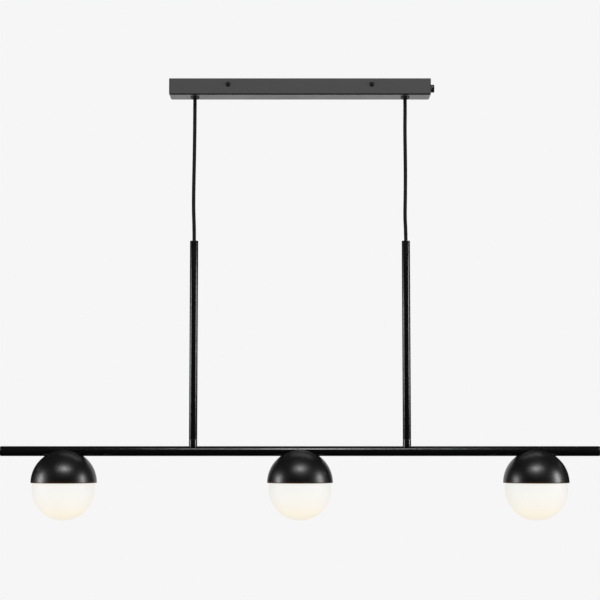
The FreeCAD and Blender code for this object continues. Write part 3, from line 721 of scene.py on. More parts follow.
@dataclass(frozen=True)
class GlowingCore(Finish):
    """The lit core of a lamp: rows of small warm squares on a pale column."""

    glow: Point = (1.0, 0.62, 0.25)
    column: Point = (1.0, 0.86, 0.66)
    strength: float = 1.6
    rows: float = 260.0

    def dress(self, surface: Surface) -> None:
        """Wire the rows of squares.

        Args:
            surface: the material in the making.
        """
        surface.inputs["Emission Strength"].default_value = self.strength
        sheet = surface.sheet
        squares = sheet.add("ShaderNodeTexVoronoi", {"Scale": self.rows, "Randomness": 0.0},
                            distance="CHEBYCHEV")
        sheet.wire(sheet.place(), squares.inputs["Vector"])
        tone = sheet.blend(squares.outputs["Distance"], self.glow, self.column)
        sheet.wire(tone, surface.inputs["Emission Color"])


class Wardrobe:
    """The materials of this lamp, by the slot that they dress, and the extra ones."""

    def __init__(self) -> None:
        """Build each material once."""
        effects = Effects()
        finishes = {
            # the shades' paint, which carries a painted glow along the lip
            "satin": LitLipPaint("black_satin_paint", (0.0025, 0.0025, 0.0027), 0.35,
                                 skin_depth=0.005 * MM, dust=0.04),
            "tube": PowderCoat("black_tube_paint", (0.003, 0.003, 0.0032), 0.21, skin_depth=0.0015 * MM,
                               dust=0.04),
            "rod": PowderCoat("black_rod_paint", (0.003, 0.003, 0.0032), 0.26, skin_depth=0.0015 * MM,
                              dust=0.04, specular=0.38),
            # the canopy's paint, with painted shade along its bends
            "matt": FoldedSheetPaint("black_matt_paint", (0.0635, 0.0635, 0.0641), 0.33,
                                     skin_depth=0.006 * MM, wave=900.0, dust=0.05, specular=0.34),
            "black_metal": PowderCoat("black_inner_paint", (0.0075, 0.0075, 0.0078), 0.42),
            "black_screw": PowderCoat("blackened_screw", (0.003, 0.003, 0.003), 0.5,
                                      skin_depth=0.006 * MM, wave=1600.0, specular=0.3),
            "black_plastic": Moulding("black_moulding", (0.009, 0.009, 0.009), 0.42, stain_amount=0.01),
            "white_nylon": Moulding("white_nylon", (0.8, 0.79, 0.76), 0.48),
            "inner_cable": Moulding("cable_sheath", (0.03, 0.03, 0.031), 0.5, stain_amount=0.02),
            "silicone": Moulding("silicone", (0.68, 0.67, 0.64), 0.55, grain=900.0),
            "lamp_ceramic": Moulding("lamp_ceramic", (0.84, 0.82, 0.77), 0.6, grain=2200.0,
                                     grain_depth=0.03 * MM),
            "zinc_steel": PlatedSheet("zinc_plate", (0.62, 0.62, 0.6), 0.34),
            "earth_brass": TurnedMetal("earth_brass", (0.72, 0.53, 0.26), 0.3),
            "turned_aluminium": TurnedMetal("turned_aluminium", (0.76, 0.76, 0.77), 0.3),
            "textile_cord": BraidedTextile("black_braid", (0.004, 0.004, 0.0043), 0.8),
            "opal_glass": OpalGlass("opal_glass", (0.13, 0.129, 0.127), 0.5),
            "lamp_glass": ClearGlass("lamp_capsule_glass", (1.0, 0.98, 0.94), 0.06),
            "core": GlowingCore("lamp_core", (0.9, 0.72, 0.4), 0.5),
        }
        self.materials = {word: finish.material(effects) for word, finish in finishes.items()}

    def of(self, word: str) -> bpy.types.Material:
        """The material with this short name."""
        return self.materials[word]


class Shaping:
    """Bmesh steps that several pieces share."""

    @staticmethod
    def turned(outline: Outline, steps: int = 96) -> bmesh.types.BMesh:
        """Turn a closed outline once round the Z axis.

        Args:
            outline: corners as (radius, height), in order.
            steps: facets round the axis.

        Returns:
            A closed mesh with its faces outwards.
        """
        bm = bmesh.new()
        corners = [bm.verts.new((radius, 0.0, height)) for radius, height in outline]
        pairs = zip(corners, corners[1:] + corners[:1])
        ring = [bm.edges.new(pair) for pair in pairs if max(v.co.x for v in pair) > 0]
        bmesh.ops.spin(bm, geom=[*corners, *ring], cent=(0, 0, 0), axis=UP, dvec=(0, 0, 0), angle=math.tau,
                       steps=steps, use_merge=True, use_duplicate=False)
        bmesh.ops.remove_doubles(bm, verts=bm.verts[:], dist=0.1 * WELD)
        bmesh.ops.recalc_face_normals(bm, faces=bm.faces[:])
        return bm

    @staticmethod
    def eased(bm: bmesh.types.BMesh, width: float, segments: int = 3, degrees: float = 30.0,
              where: object = None) -> bmesh.types.BMesh:
        """Round the sharp edges of a mesh.

        Args:
            bm: the mesh.
            width: how far from the edge the rounding starts.
            segments: how many strips it has.
            degrees: the least angle of an edge that is rounded.
            where: a test that an edge has to pass, or None for all.

        Returns:
            The mesh.
        """
        edges = [e for e in bm.edges
                 if len(e.link_faces) == 2 and e.calc_face_angle(0.0) > math.radians(degrees)
                 and (where is None or where(e))]
        bmesh.ops.bevel(bm, geom=edges, offset=width, offset_type="OFFSET", segments=segments, profile=0.5,
                        affect="EDGES", material=-1, clamp_overlap=True)
        return bm

    @staticmethod
    def block(low: Point, high: Point) -> bmesh.types.BMesh:
        """A box between two corners.

        Args:
            low: the corner with the least X, Y and Z.
            high: the corner with the greatest.

        Returns:
            The mesh.
        """
        bm = bmesh.new()
        size = Vector(high) - Vector(low)
        middle = (Vector(high) + Vector(low)) / 2
        place = Matrix.Translation(middle) @ Matrix.Diagonal((*size, 1.0))
        bmesh.ops.create_cube(bm, size=1.0, matrix=place)
        return bm

    @staticmethod
    def rod(radius: float, foot: Point, top: Point, steps: int = 64) -> bmesh.types.BMesh:
        """A plain round bar between two points.

        Args:
            radius: its radius.
            foot: the middle of one end.
            top: the middle of the other end.
            steps: facets round it.

        Returns:
            The mesh.
        """
        bm = bmesh.new()
        run = Vector(top) - Vector(foot)
        turn = run.to_track_quat("Z", "Y").to_matrix().to_4x4()
        middle = Matrix.Translation((Vector(top) + Vector(foot)) / 2)
        bmesh.ops.create_cone(bm, cap_ends=True, segments=steps, radius1=radius, radius2=radius,
                              depth=run.length, matrix=middle @ turn)
        return bm

    @staticmethod
    def moved(bm: bmesh.types.BMesh, foot: Point, axis: Point = UP) -> bmesh.types.BMesh:
        """Stand a mesh that was made upright at the origin on its foot, along an axis.

        Args:
            bm: the mesh.
            foot: where its origin goes.
            axis: the way its Z axis then points.

        Returns:
            The mesh.
        """
        turn = Vector(axis).to_track_quat("Z", "Y").to_matrix().to_4x4()
        bmesh.ops.transform(bm, matrix=Matrix.Translation(foot) @ turn, verts=bm.verts[:])
        return bm

    @staticmethod
    def joined(parts: Iterable[bmesh.types.BMesh]) -> bmesh.types.BMesh:
        """Several meshes as one.

        Args:
            parts: the meshes, which are freed.

        Returns:
            The whole, as a new mesh.
        """
        whole = bmesh.new()
        for part in parts:
            mesh = bpy.data.meshes.new("part")
            part.to_mesh(mesh)
            part.free()
            whole.from_mesh(mesh)
            bpy.data.meshes.remove(mesh)
        return whole

    @staticmethod
    def carved(bm: bmesh.types.BMesh, cutter: bmesh.types.BMesh) -> bmesh.types.BMesh:
        """Cut one closed mesh out of another.

        Args:
            bm: the mesh that is cut.
            cutter: the mesh that cuts it.

        Returns:
            What is left, as a new mesh. Both others are freed.
        """
        objects = []
        for word, mesh_data in (("blank", bm), ("cutter", cutter)):
            mesh = bpy.data.meshes.new(word)
            mesh_data.to_mesh(mesh)
            mesh_data.free()
            objects.append(bpy.data.objects.new(word, mesh))
            bpy.context.scene.collection.objects.link(objects[-1])
        blank, tool = objects
        cut = blank.modifiers.new("cut", "BOOLEAN")
        cut.operation, cut.solver, cut.object = "DIFFERENCE", "EXACT", tool
        bpy.context.view_layer.update()
        seen = blank.evaluated_get(bpy.context.evaluated_depsgraph_get())
        result = bpy.data.meshes.new_from_object(seen)
        left = bmesh.new()
        left.from_mesh(result)
        bmesh.ops.remove_doubles(left, verts=left.verts[:], dist=WELD)
        for item in (blank, tool):
            mesh = item.data
            bpy.data.objects.remove(item)
            bpy.data.meshes.remove(mesh)
        bpy.data.meshes.remove(result)
        return left

    @staticmethod
    def ball_shell(radius: float, wall: float, cut: float, keep_above: bool) -> bmesh.types.BMesh:
        """Part of a hollow ball, cut level.

        Args:
            radius: its outside.
            wall: its thickness.
            cut: the height of the cut above its centre.
            keep_above: whether the part above the cut is kept, or the part below.

        Returns:
            The shell, closed round its lip.
        """
        bm = bmesh.new()
        facets = {"u_segments": 128, "v_segments": 96}
        bmesh.ops.create_uvsphere(bm, radius=radius - wall, **facets)
        bmesh.ops.reverse_faces(bm, faces=bm.faces[:])
        bmesh.ops.create_uvsphere(bm, radius=radius, **facets)
        bmesh.ops.bisect_plane(bm, geom=[*bm.verts, *bm.edges, *bm.faces], dist=10 * WELD,
                               plane_co=(0, 0, cut), plane_no=UP,
                               clear_inner=keep_above, clear_outer=not keep_above)
        bmesh.ops.bridge_loops(bm, edges=[e for e in bm.edges if e.is_boundary])
        bmesh.ops.recalc_face_normals(bm, faces=bm.faces[:])
        return bm

    @staticmethod
    def arc(middle: tuple[float, float], radius: float, start: float, end: float,
            steps: int = 12) -> list[tuple[float, float]]:
        """Points of an outline along an arc.

        Args:
            middle: its centre as (radius, height).
            radius: its own radius.
            start: the angle that it starts at, in degrees from outwards.
            end: the angle that it ends at.
            steps: how many short lines it has.

        Returns:
            Corners as (radius, height).
        """
        turns = [math.radians(start + (end - start) * i / steps) for i in range(steps + 1)]
        return [(middle[0] + radius * math.cos(t), middle[1] + radius * math.sin(t)) for t in turns]

    @staticmethod
    def thread(radius: float, depth: float, pitch: float, low: float,
               high: float) -> list[tuple[float, float]]:
        """The outline of a round thread between two heights.

        Args:
            radius: its crests.
            depth: how deep its grooves are, negative for one inside a hole.
            pitch: from crest to crest.
            low: where it starts.
            high: where it ends, which may be below low.

        Returns:
            Corners as (radius, height).
        """
        turns = max(1, round(abs(high - low) / pitch))
        step = (high - low) / turns
        points = []
        for turn in range(turns):
            foot = low + step * turn
            crest = [(radius, foot + step * share) for share in (0.35, 0.65)]
            points += [(radius - depth, foot), *crest]
        return [*points, (radius - depth, high)]

    @staticmethod
    def finished(bm: bmesh.types.BMesh, name: str, material: bpy.types.Material,
                 degrees: float = 35.0) -> bpy.types.Object:
        """Make a piece of a mesh.

        Args:
            bm: the mesh, which is freed.
            name: the piece's name.
            material: its finish.
            degrees: edges sharper than this stay sharp in the shading.

        Returns:
            The piece, its object at the origin.
        """
        mesh = bpy.data.meshes.new(name)
        bm.to_mesh(mesh)
        bm.free()
        mesh.materials.append(material)
        mesh.polygons.foreach_set("use_smooth", [True] * len(mesh.polygons))
        mesh.set_sharp_from_angle(angle=math.radians(degrees))
        piece = bpy.data.objects.new(name, mesh)
        bpy.context.scene.collection.objects.link(piece)
        return piece

    @staticmethod
    def copy_of(node: bpy.types.Object) -> bmesh.types.BMesh:
        """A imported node's mesh with its loose triangles merged.

        Args:
            node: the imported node.

        Returns:
            The mesh.
        """
        bm = bmesh.new()
        bm.from_mesh(node.data)
        bmesh.ops.remove_doubles(bm, verts=bm.verts[:], dist=WELD)
        return bm


class Workshop:
    """Turns meshes into pieces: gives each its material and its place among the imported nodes."""

    def __init__(self, record: dict) -> None:
        """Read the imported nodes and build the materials.

        Args:
            record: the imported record, as the frame gives it.
        """
        self.roster = Roster(record)
        self.wardrobe = Wardrobe()

    def piece(self, bm: bmesh.types.BMesh, name: str, finish: str | None, nodes: Sequence[str],
              degrees: float = 35.0) -> bpy.types.Object:
        """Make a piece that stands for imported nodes.

        Args:
            bm: its mesh, which is freed.
            name: its name.
            finish: the short name of its material, or None for the one of the first node's slot.
            nodes: the nodes that it stands for, the first of which gives its body and slot.
            degrees: edges sharper than this stay sharp in the shading.

        Returns:
            The piece.
        """
        material = self.wardrobe.of(finish or self.roster.slot[nodes[0]])
        return self.roster.publish(Shaping.finished(bm, name, material, degrees), nodes)

    def extra(self, bm: bmesh.types.BMesh, name: str, finish: str, node: str, slot: str) -> bpy.types.Object:
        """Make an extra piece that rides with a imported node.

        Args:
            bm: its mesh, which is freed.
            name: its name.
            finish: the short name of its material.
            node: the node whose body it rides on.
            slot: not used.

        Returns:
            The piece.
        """
        return self.roster.add_on(Shaping.finished(bm, name, self.wardrobe.of(finish)), node, slot)


@dataclass
class Canopy:
    """The slim box at the ceiling, with its screws, its glands and the bush for a side lead."""

    length: float = 508 * MM
    width: float = 50 * MM
    height: float = 32 * MM
    wall: float = 1.2 * MM
    corner: float = 3.0 * MM
    screw_spacing: float = 279 * MM
    screw_drop: float = 11.4 * MM
    head_radius: float = 4.9 * MM
    head_height: float = 2 * MM
    head_flat: float = 0.55
    head_side: float = 0.35
    cross_reach: float = 0.5
    cross_half: float = 0.09
    shank_radius: float = 2 * MM
    shank_length: float = 7 * MM
    cord_spacing: float = 410 * MM
    flange_radius: float = 8.5 * MM
    flange_height: float = 3.5 * MM
    mouth_radius: float = 5.8 * MM
    throat_radius: float = 4.4 * MM
    throat_bell: Outline = ((0.0, 2 * MM), (0.2 * MM, 0.5 * MM), (0.7 * MM, -1.5 * MM))
    thread_radius: float = 6 * MM
    thread_length: float = 8 * MM
    thread_depth: float = 0.3 * MM
    thread_pitch: float = 1.0 * MM
    inlet_height: float = -15 * MM
    inlet_flange: float = 7.8 * MM
    inlet_reach: float = 8 * MM
    inlet_rim: Outline = ((0.0, 0.0), (0.0, 0.22), (0.5 * MM, 0.28), (0.5 * MM, 0.38), (0.0, 0.44),
                          (0.0, 0.92), (0.64 * MM, 1.0))
    inlet_body: float = 6 * MM
    inlet_bore: float = 3.75 * MM
    inlet_mouth: float = 0.8 * MM
    inlet_depth: float = 9.5 * MM
    hole_play: float = 0.1 * MM

    def cover(self) -> bmesh.types.BMesh:
        """The folded sheet box, open at the ceiling, with its bends rounded and its holes drilled.

        Returns:
            The mesh.
        """
        half = (self.length / 2, self.width / 2)
        bm = Shaping.block((-half[0], -half[1], -self.height), (half[0], half[1], 0.0))
        top = [f for f in bm.faces if f.normal.z > 0.5]
        bmesh.ops.delete(bm, geom=top, context="FACES_ONLY")
        bends = [e for e in bm.edges if len(e.link_faces) == 2]
        bmesh.ops.bevel(bm, geom=bends, offset=self.corner, offset_type="OFFSET", segments=5, profile=0.5,
                        affect="EDGES", material=-1)
        bmesh.ops.recalc_face_normals(bm, faces=bm.faces[:])
        middle = Vector((0, 0, -self.height / 2))
        if sum(f.normal.dot(f.calc_center_median() - middle) for f in bm.faces) < 0:
            bmesh.ops.reverse_faces(bm, faces=bm.faces[:])
        bmesh.ops.solidify(bm, geom=bm.faces[:], thickness=self.wall)
        for drill in self.drills():
            bm = Shaping.carved(bm, drill)
        return bm

    def drills(self) -> list[bmesh.types.BMesh]:
        """What the cover's holes are cut with: for the side inlet, the glands and the screws.

        Returns:
            A round bar for each hole, or for each two that face each other.
        """
        end, face, reach = self.length / 2, self.width / 2, 4 * self.wall
        drills = [Shaping.rod(self.inlet_body + self.hole_play, (end - reach, 0.0, self.inlet_height),
                              (end + reach, 0.0, self.inlet_height))]
        for side in Side:
            x = side.value * self.cord_spacing / 2
            drills.append(Shaping.rod(self.thread_radius + self.hole_play, (x, 0.0, -self.height - reach),
                                      (x, 0.0, -self.height + reach)))
            x = side.value * self.screw_spacing / 2
            drills.append(Shaping.rod(self.shank_radius + self.hole_play,
                                      (x, -face - reach, -self.screw_drop),
                                      (x, face + reach, -self.screw_drop), 32))
        return drills

    def screw(self) -> bmesh.types.BMesh:
        """A pan head screw with a crossed recess, upright with its head's seat at the origin.

        Returns:
            The mesh.
        """
        crown, r, shank = self.head_height, self.head_radius, self.shank_radius
        side = crown * self.head_side
        bm = Shaping.turned([(0, crown), (r * self.head_flat, crown), (r, side), (r, 0), (shank, 0),
                             (shank, -self.shank_length), (0, -self.shank_length)], 48)
        Shaping.eased(bm, 0.3 * MM, 3, 15.0, lambda e: min(v.co.z for v in e.verts) > 0.1 * crown)
        wide, narrow = r * self.cross_reach, r * self.cross_half
        for across, along in ((wide, narrow), (narrow, wide)):
            bm = Shaping.carved(bm, Shaping.block((-across, -along, side), (across, along, crown * 2)))
        return bm

    def screws(self) -> bmesh.types.BMesh:
        """The four cover screws, two in each long face.

        Returns:
            The mesh of all four.
        """
        parts = []
        for face in (-1, 1):
            for side in Side:
                foot = (side.value * self.screw_spacing / 2, face * self.width / 2, -self.screw_drop)
                parts.append(Shaping.moved(self.screw(), foot, (0.0, float(face), 0.0)))
        return Shaping.joined(parts)

    def gland(self, side: Side) -> bmesh.types.BMesh:
        """A bell mouthed bush with a threaded body.

        Args:
            side: the end of the canopy that it sits towards.

        Returns:
            The mesh.
        """
        low, throat = -self.flange_height, self.throat_radius
        grooves = Shaping.thread(self.thread_radius, self.thread_depth, self.thread_pitch, 0.0,
                                 self.thread_length)
        bm = Shaping.turned([(self.mouth_radius, low), (self.flange_radius, low), (self.flange_radius, 0.0),
                             *grooves, (throat, self.thread_length),
                             *[(throat + out, height) for out, height in self.throat_bell]], 72)
        Shaping.eased(bm, 0.7 * MM, 4, 40.0, lambda e: max(v.co.z for v in e.verts) < low * 0.9)
        return Shaping.moved(bm, (side.value * self.cord_spacing / 2, 0.0, -self.height))

    def inlet(self) -> bmesh.types.BMesh:
        """The bush in the right end, with two grooves round its rim.

        Returns:
            The mesh.
        """
        body, bore, reach = self.inlet_body, self.inlet_bore, self.inlet_reach
        rim = [(self.inlet_flange - inset, reach * share) for inset, share in self.inlet_rim]
        bm = Shaping.turned([(bore, -self.inlet_depth), (body, -self.inlet_depth), (body, 0), *rim,
                             (bore + self.inlet_mouth, reach), (bore, reach - self.inlet_mouth)], 64)
        Shaping.eased(bm, 0.2 * MM, 2)
        return Shaping.moved(bm, (self.length / 2, 0.0, self.inlet_height), RIGHT)

    def build(self, shop: Workshop) -> None:
        """Make all of its pieces.

        Args:
            shop: the workshop that makes its pieces.
        """
        cover = shop.piece(self.cover(), "canopy_box", "matt", ["canopy_cover"])
        cover.modifiers.new("even_light", "WEIGHTED_NORMAL").keep_sharp = True
        shop.piece(self.screws(), "canopy_screws", "black_screw", ["cover_screws"])
        shop.piece(self.inlet(), "side_inlet", "black_plastic", ["side_inlet_bush"])
        for side in Side:
            shop.piece(self.gland(side), f"{side.word}_bell_bush", "black_plastic",
                       [f"{side.word}_cord_gland"])


@dataclass
class TextileCord:
    """A braided cord from the throat of its gland to the crimped stop in its rod."""

    side: Side
    bends: Sequence[Point]
    spacing: float = 410 * MM
    root_top: float = -30 * MM
    root_low: float = -33 * MM
    stop_top: float = -320.7 * MM
    exit_height: float = -35.5 * MM
    diameter: float = 6.5 * MM
    strands: int = 12
    relief: float = 0.3 * MM
    held: float = 12 * MM
    travel: float = 200 * MM

    def route(self) -> list[Vector]:
        """The control points of its line, from the top down.

        Returns:
            The points.
        """
        x = self.side.value * self.spacing / 2
        run = self.stop_top - self.root_low
        points = [Vector((x, 0.0, self.root_top))]
        points += [Vector((x + across * MM, towards * MM, self.root_low + share * run))
                   for share, across, towards in self.bends]
        return points

    def tube(self, thick: bool) -> bpy.types.Mesh:
        """The spline through its route, as a bare line or as a tube with a UV map.

        Args:
            thick: whether it is the tube.

        Returns:
            The mesh.
        """
        points = self.route()
        curve = bpy.data.curves.new("route", "CURVE")
        curve.dimensions = "3D"
        curve.resolution_u = 8 * self.strands
        spline = curve.splines.new("NURBS")
        spline.points.add(len(points) - 1)
        for knot, point in zip(spline.points, points):
            knot.co = (*point, 1.0)
        spline.order_u = 3
        spline.use_endpoint_u = True
        if thick:
            curve.bevel_depth = self.diameter / 2
            curve.bevel_resolution = 2 * self.strands - 2
            curve.use_fill_caps = True
        holder = bpy.data.objects.new("route", curve)
        mesh = bpy.data.meshes.new_from_object(holder)
        bpy.data.objects.remove(holder)
        bpy.data.curves.remove(curve)
        return mesh

    def build(self, shop: Workshop) -> None:
        """Args:
            shop: the workshop that makes its pieces.
        """
        bare, mesh = self.tube(False), self.tube(True)
        path = [tuple(v.co) for v in bare.vertices]
        marks = [0.0]
        for a, b in zip(path, path[1:]):
            marks.append(marks[-1] + math.dist(a, b))
        bm = bmesh.new()
        bm.from_mesh(mesh)
        bpy.data.meshes.remove(mesh)
        bpy.data.meshes.remove(bare)
        self.raise_strands(bm, marks)
        word = self.side.word
        cord = shop.piece(bm, f"{word}_braided_cord", "textile_cord", [f"{word}_cord", f"{word}_cord_root"],
                          60.0)
        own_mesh(cord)

    def raise_strands(self, bm: bmesh.types.BMesh, marks: Sequence[float]) -> None:
        """Even out the tube's map along it, and lift its skin where a strand passes over another.

        The strands lie flat towards both ends, where the cord is held.

        Args:
            bm: the tube, with its UV map.
            marks: how far along its line each of the line's points is.
        """
        uv = bm.loops.layers.uv.active
        last, length = len(marks) - 1, marks[-1]
        turns = length / (math.pi * self.diameter) * self.strands
        bm.normal_update()
        lift = {}
        for loop in (loop for face in bm.faces for loop in face.loops):
            along, around = loop[uv].uv
            along = marks[min(round(along * last), last)] / length
            loop[uv].uv = (along, around)
            a = math.sin(math.tau * around * self.strands)
            b = math.sin(math.tau * along * turns)
            ease = min(1.0, min(along, 1.0 - along) * length / self.held)
            lift[loop.vert] = abs(a * b) ** 0.5 * self.relief * ease
        for vert, height in lift.items():
            vert.co += vert.normal * height


@dataclass
class HangingRod:
    """A rod with the plug in its top and the collar that stands on the bar."""

    side: Side
    spacing: float = 410 * MM
    top: float = -314.5 * MM
    length: float = 382.8 * MM
    radius: float = 8 * MM
    wall: float = 1.2 * MM
    rim: float = 0.4 * MM
    plug_height: float = 5 * MM
    plug_mouth: float = 5 * MM
    plug_throat: float = 3.7 * MM
    plug_recess: float = 0.3 * MM
    collar_height: float = 13.2 * MM
    collar_saddle: float = 2.5 * MM
    collar_round: float = 0.35 * MM
    joint_line: float = 0.2 * MM
    spigot: float = 12 * MM
    bore: float = 5.1 * MM
    bar_axis: float = -720 * MM
    bar_radius: float = 9.5 * MM
    saddle_play: float = 0.1 * MM
    grub_radius: float = 1.5 * MM
    grub_hole: float = 1.7 * MM
    grub_socket: float = 0.75 * MM

    @property
    def x(self) -> float:
        """Where its axis stands along the bar."""
        return self.side.value * self.spacing / 2

    def tube(self) -> bmesh.types.BMesh:
        """The rod's tube, with rounded rims.

        Returns:
            The mesh.
        """
        inside = self.radius - self.wall
        bm = Shaping.turned([(inside, -self.length), (self.radius, -self.length), (self.radius, 0),
                             (inside, 0)], 72)
        Shaping.eased(bm, self.rim)
        return Shaping.moved(bm, (self.x, 0.0, self.top))

    def plug(self) -> bmesh.types.BMesh:
        """The plug in its top, which the cord runs through.

        Returns:
            The mesh.
        """
        inside = self.radius - self.wall
        bm = Shaping.turned([(self.plug_throat, -self.plug_height), (inside, -self.plug_height),
                             (inside, -self.plug_recess), (self.plug_mouth, -self.plug_recess)], 64)
        Shaping.eased(bm, 0.25 * MM, 2)
        return Shaping.moved(bm, (self.x, 0.0, self.top))

    def collar(self) -> bmesh.types.BMesh:
        """The collar between the rod and the bar, with its grub screw at the back.

        Returns:
            The mesh.
        """
        inside, bar_top = self.radius - self.wall, self.bar_axis + self.bar_radius
        top = self.collar_height - self.joint_line
        bm = Shaping.turned([(self.bore, -self.collar_saddle), (self.radius, -self.collar_saddle),
                             (self.radius, top), (inside, top), (inside, top + self.spigot),
                             (self.bore, top + self.spigot)], 96)
        Shaping.eased(bm, self.collar_round, 3, 30.0,
                      lambda e: all(v.co.xy.length > inside * 1.01 for v in e.verts))
        Shaping.moved(bm, (self.x, 0.0, bar_top))
        reach = 2 * self.radius
        bm = Shaping.carved(bm, Shaping.rod(self.bar_radius + self.saddle_play,
                                            (self.x - reach, 0.0, self.bar_axis),
                                            (self.x + reach, 0.0, self.bar_axis), 128))
        height = bar_top + self.collar_height / 2
        bm = Shaping.carved(bm, self.inwards(self.grub_hole, height, -1.0, 2.0, 32))
        grub = Shaping.carved(self.inwards(self.grub_radius, height, -2.5, -0.3, 32),
                              self.inwards(self.grub_socket, height, -1.4, 1.0, 6))
        return Shaping.joined([bm, grub])

    def inwards(self, radius: float, height: float, start: float, end: float,
                steps: int) -> bmesh.types.BMesh:
        """A small round bar through the back of the collar.

        Args:
            radius: its radius.
            height: its height.
            start: where it starts, in mm from the collar's surface, inwards negative.
            end: where it ends.
            steps: facets round it.

        Returns:
            The bar.
        """
        return Shaping.rod(radius, (self.x, self.radius + start * MM, height),
                           (self.x, self.radius + end * MM, height), steps)

    def build(self, shop: Workshop) -> None:
        """Make the rod, its plug and its collar.

        Args:
            shop: the workshop that makes its pieces.
        """
        word = self.side.word
        shop.piece(self.tube(), f"{word}_tube_rod", "rod", [f"{word}_rod"])
        shop.piece(self.plug(), f"{word}_cord_plug", "black_metal", [f"{word}_rod_plug"])
        shop.piece(self.collar(), f"{word}_foot_collar", "rod", [f"{word}_rod_collar"])


@dataclass
class Bar:
    """The long level tube with a rounded cap in each end."""

    length: float = 1150 * MM
    radius: float = 9.5 * MM
    wall: float = 1.5 * MM
    axis_height: float = -720 * MM
    cap_height: float = 3 * MM
    cap_round: float = 2.4 * MM
    cap_plug: float = 10 * MM
    cap_play: float = 0.1 * MM
    rim: float = 0.15 * MM

    def tube(self) -> bmesh.types.BMesh:
        """The tube between the caps.

        Returns:
            The mesh.
        """
        half, inside = self.length / 2 - self.cap_height, self.radius - self.wall
        bm = Shaping.turned([(inside, -half), (self.radius, -half), (self.radius, half), (inside, half)])
        Shaping.eased(bm, self.rim, 2)
        return Shaping.moved(bm, (0.0, 0.0, self.axis_height), RIGHT)

    def cap(self, side: Side) -> bmesh.types.BMesh:
        """A rounded cap with a plug that fits the tube.

        Args:
            side: the end that it closes.

        Returns:
            The mesh.
        """
        inside, tall = self.radius - self.wall, self.cap_height
        plug = inside - self.cap_play
        bm = Shaping.turned([(0, -self.cap_plug), (plug, -self.cap_plug), (plug, 0), (self.radius, 0),
                             (self.radius, tall), (0, tall)])
        Shaping.eased(bm, self.cap_round, 8, 30.0, lambda e: min(v.co.z for v in e.verts) > tall / 3)
        Shaping.eased(bm, self.rim, 2, 60.0, lambda e: all(v.co.xy.length > inside for v in e.verts))
        place = side.value * (self.length / 2 - tall)
        return Shaping.moved(bm, (place, 0.0, self.axis_height), (float(side.value), 0.0, 0.0))

    def build(self, shop: Workshop) -> None:
        """Make the tube and its caps.

        Args:
            shop: the workshop that makes its pieces.
        """
        shop.piece(self.tube(), "level_bar", "tube", ["bar_tube"])
        for side in Side:
            shop.piece(self.cap(side), f"{side.word}_bar_cap", "tube", [f"{side.word}_end_cap"])


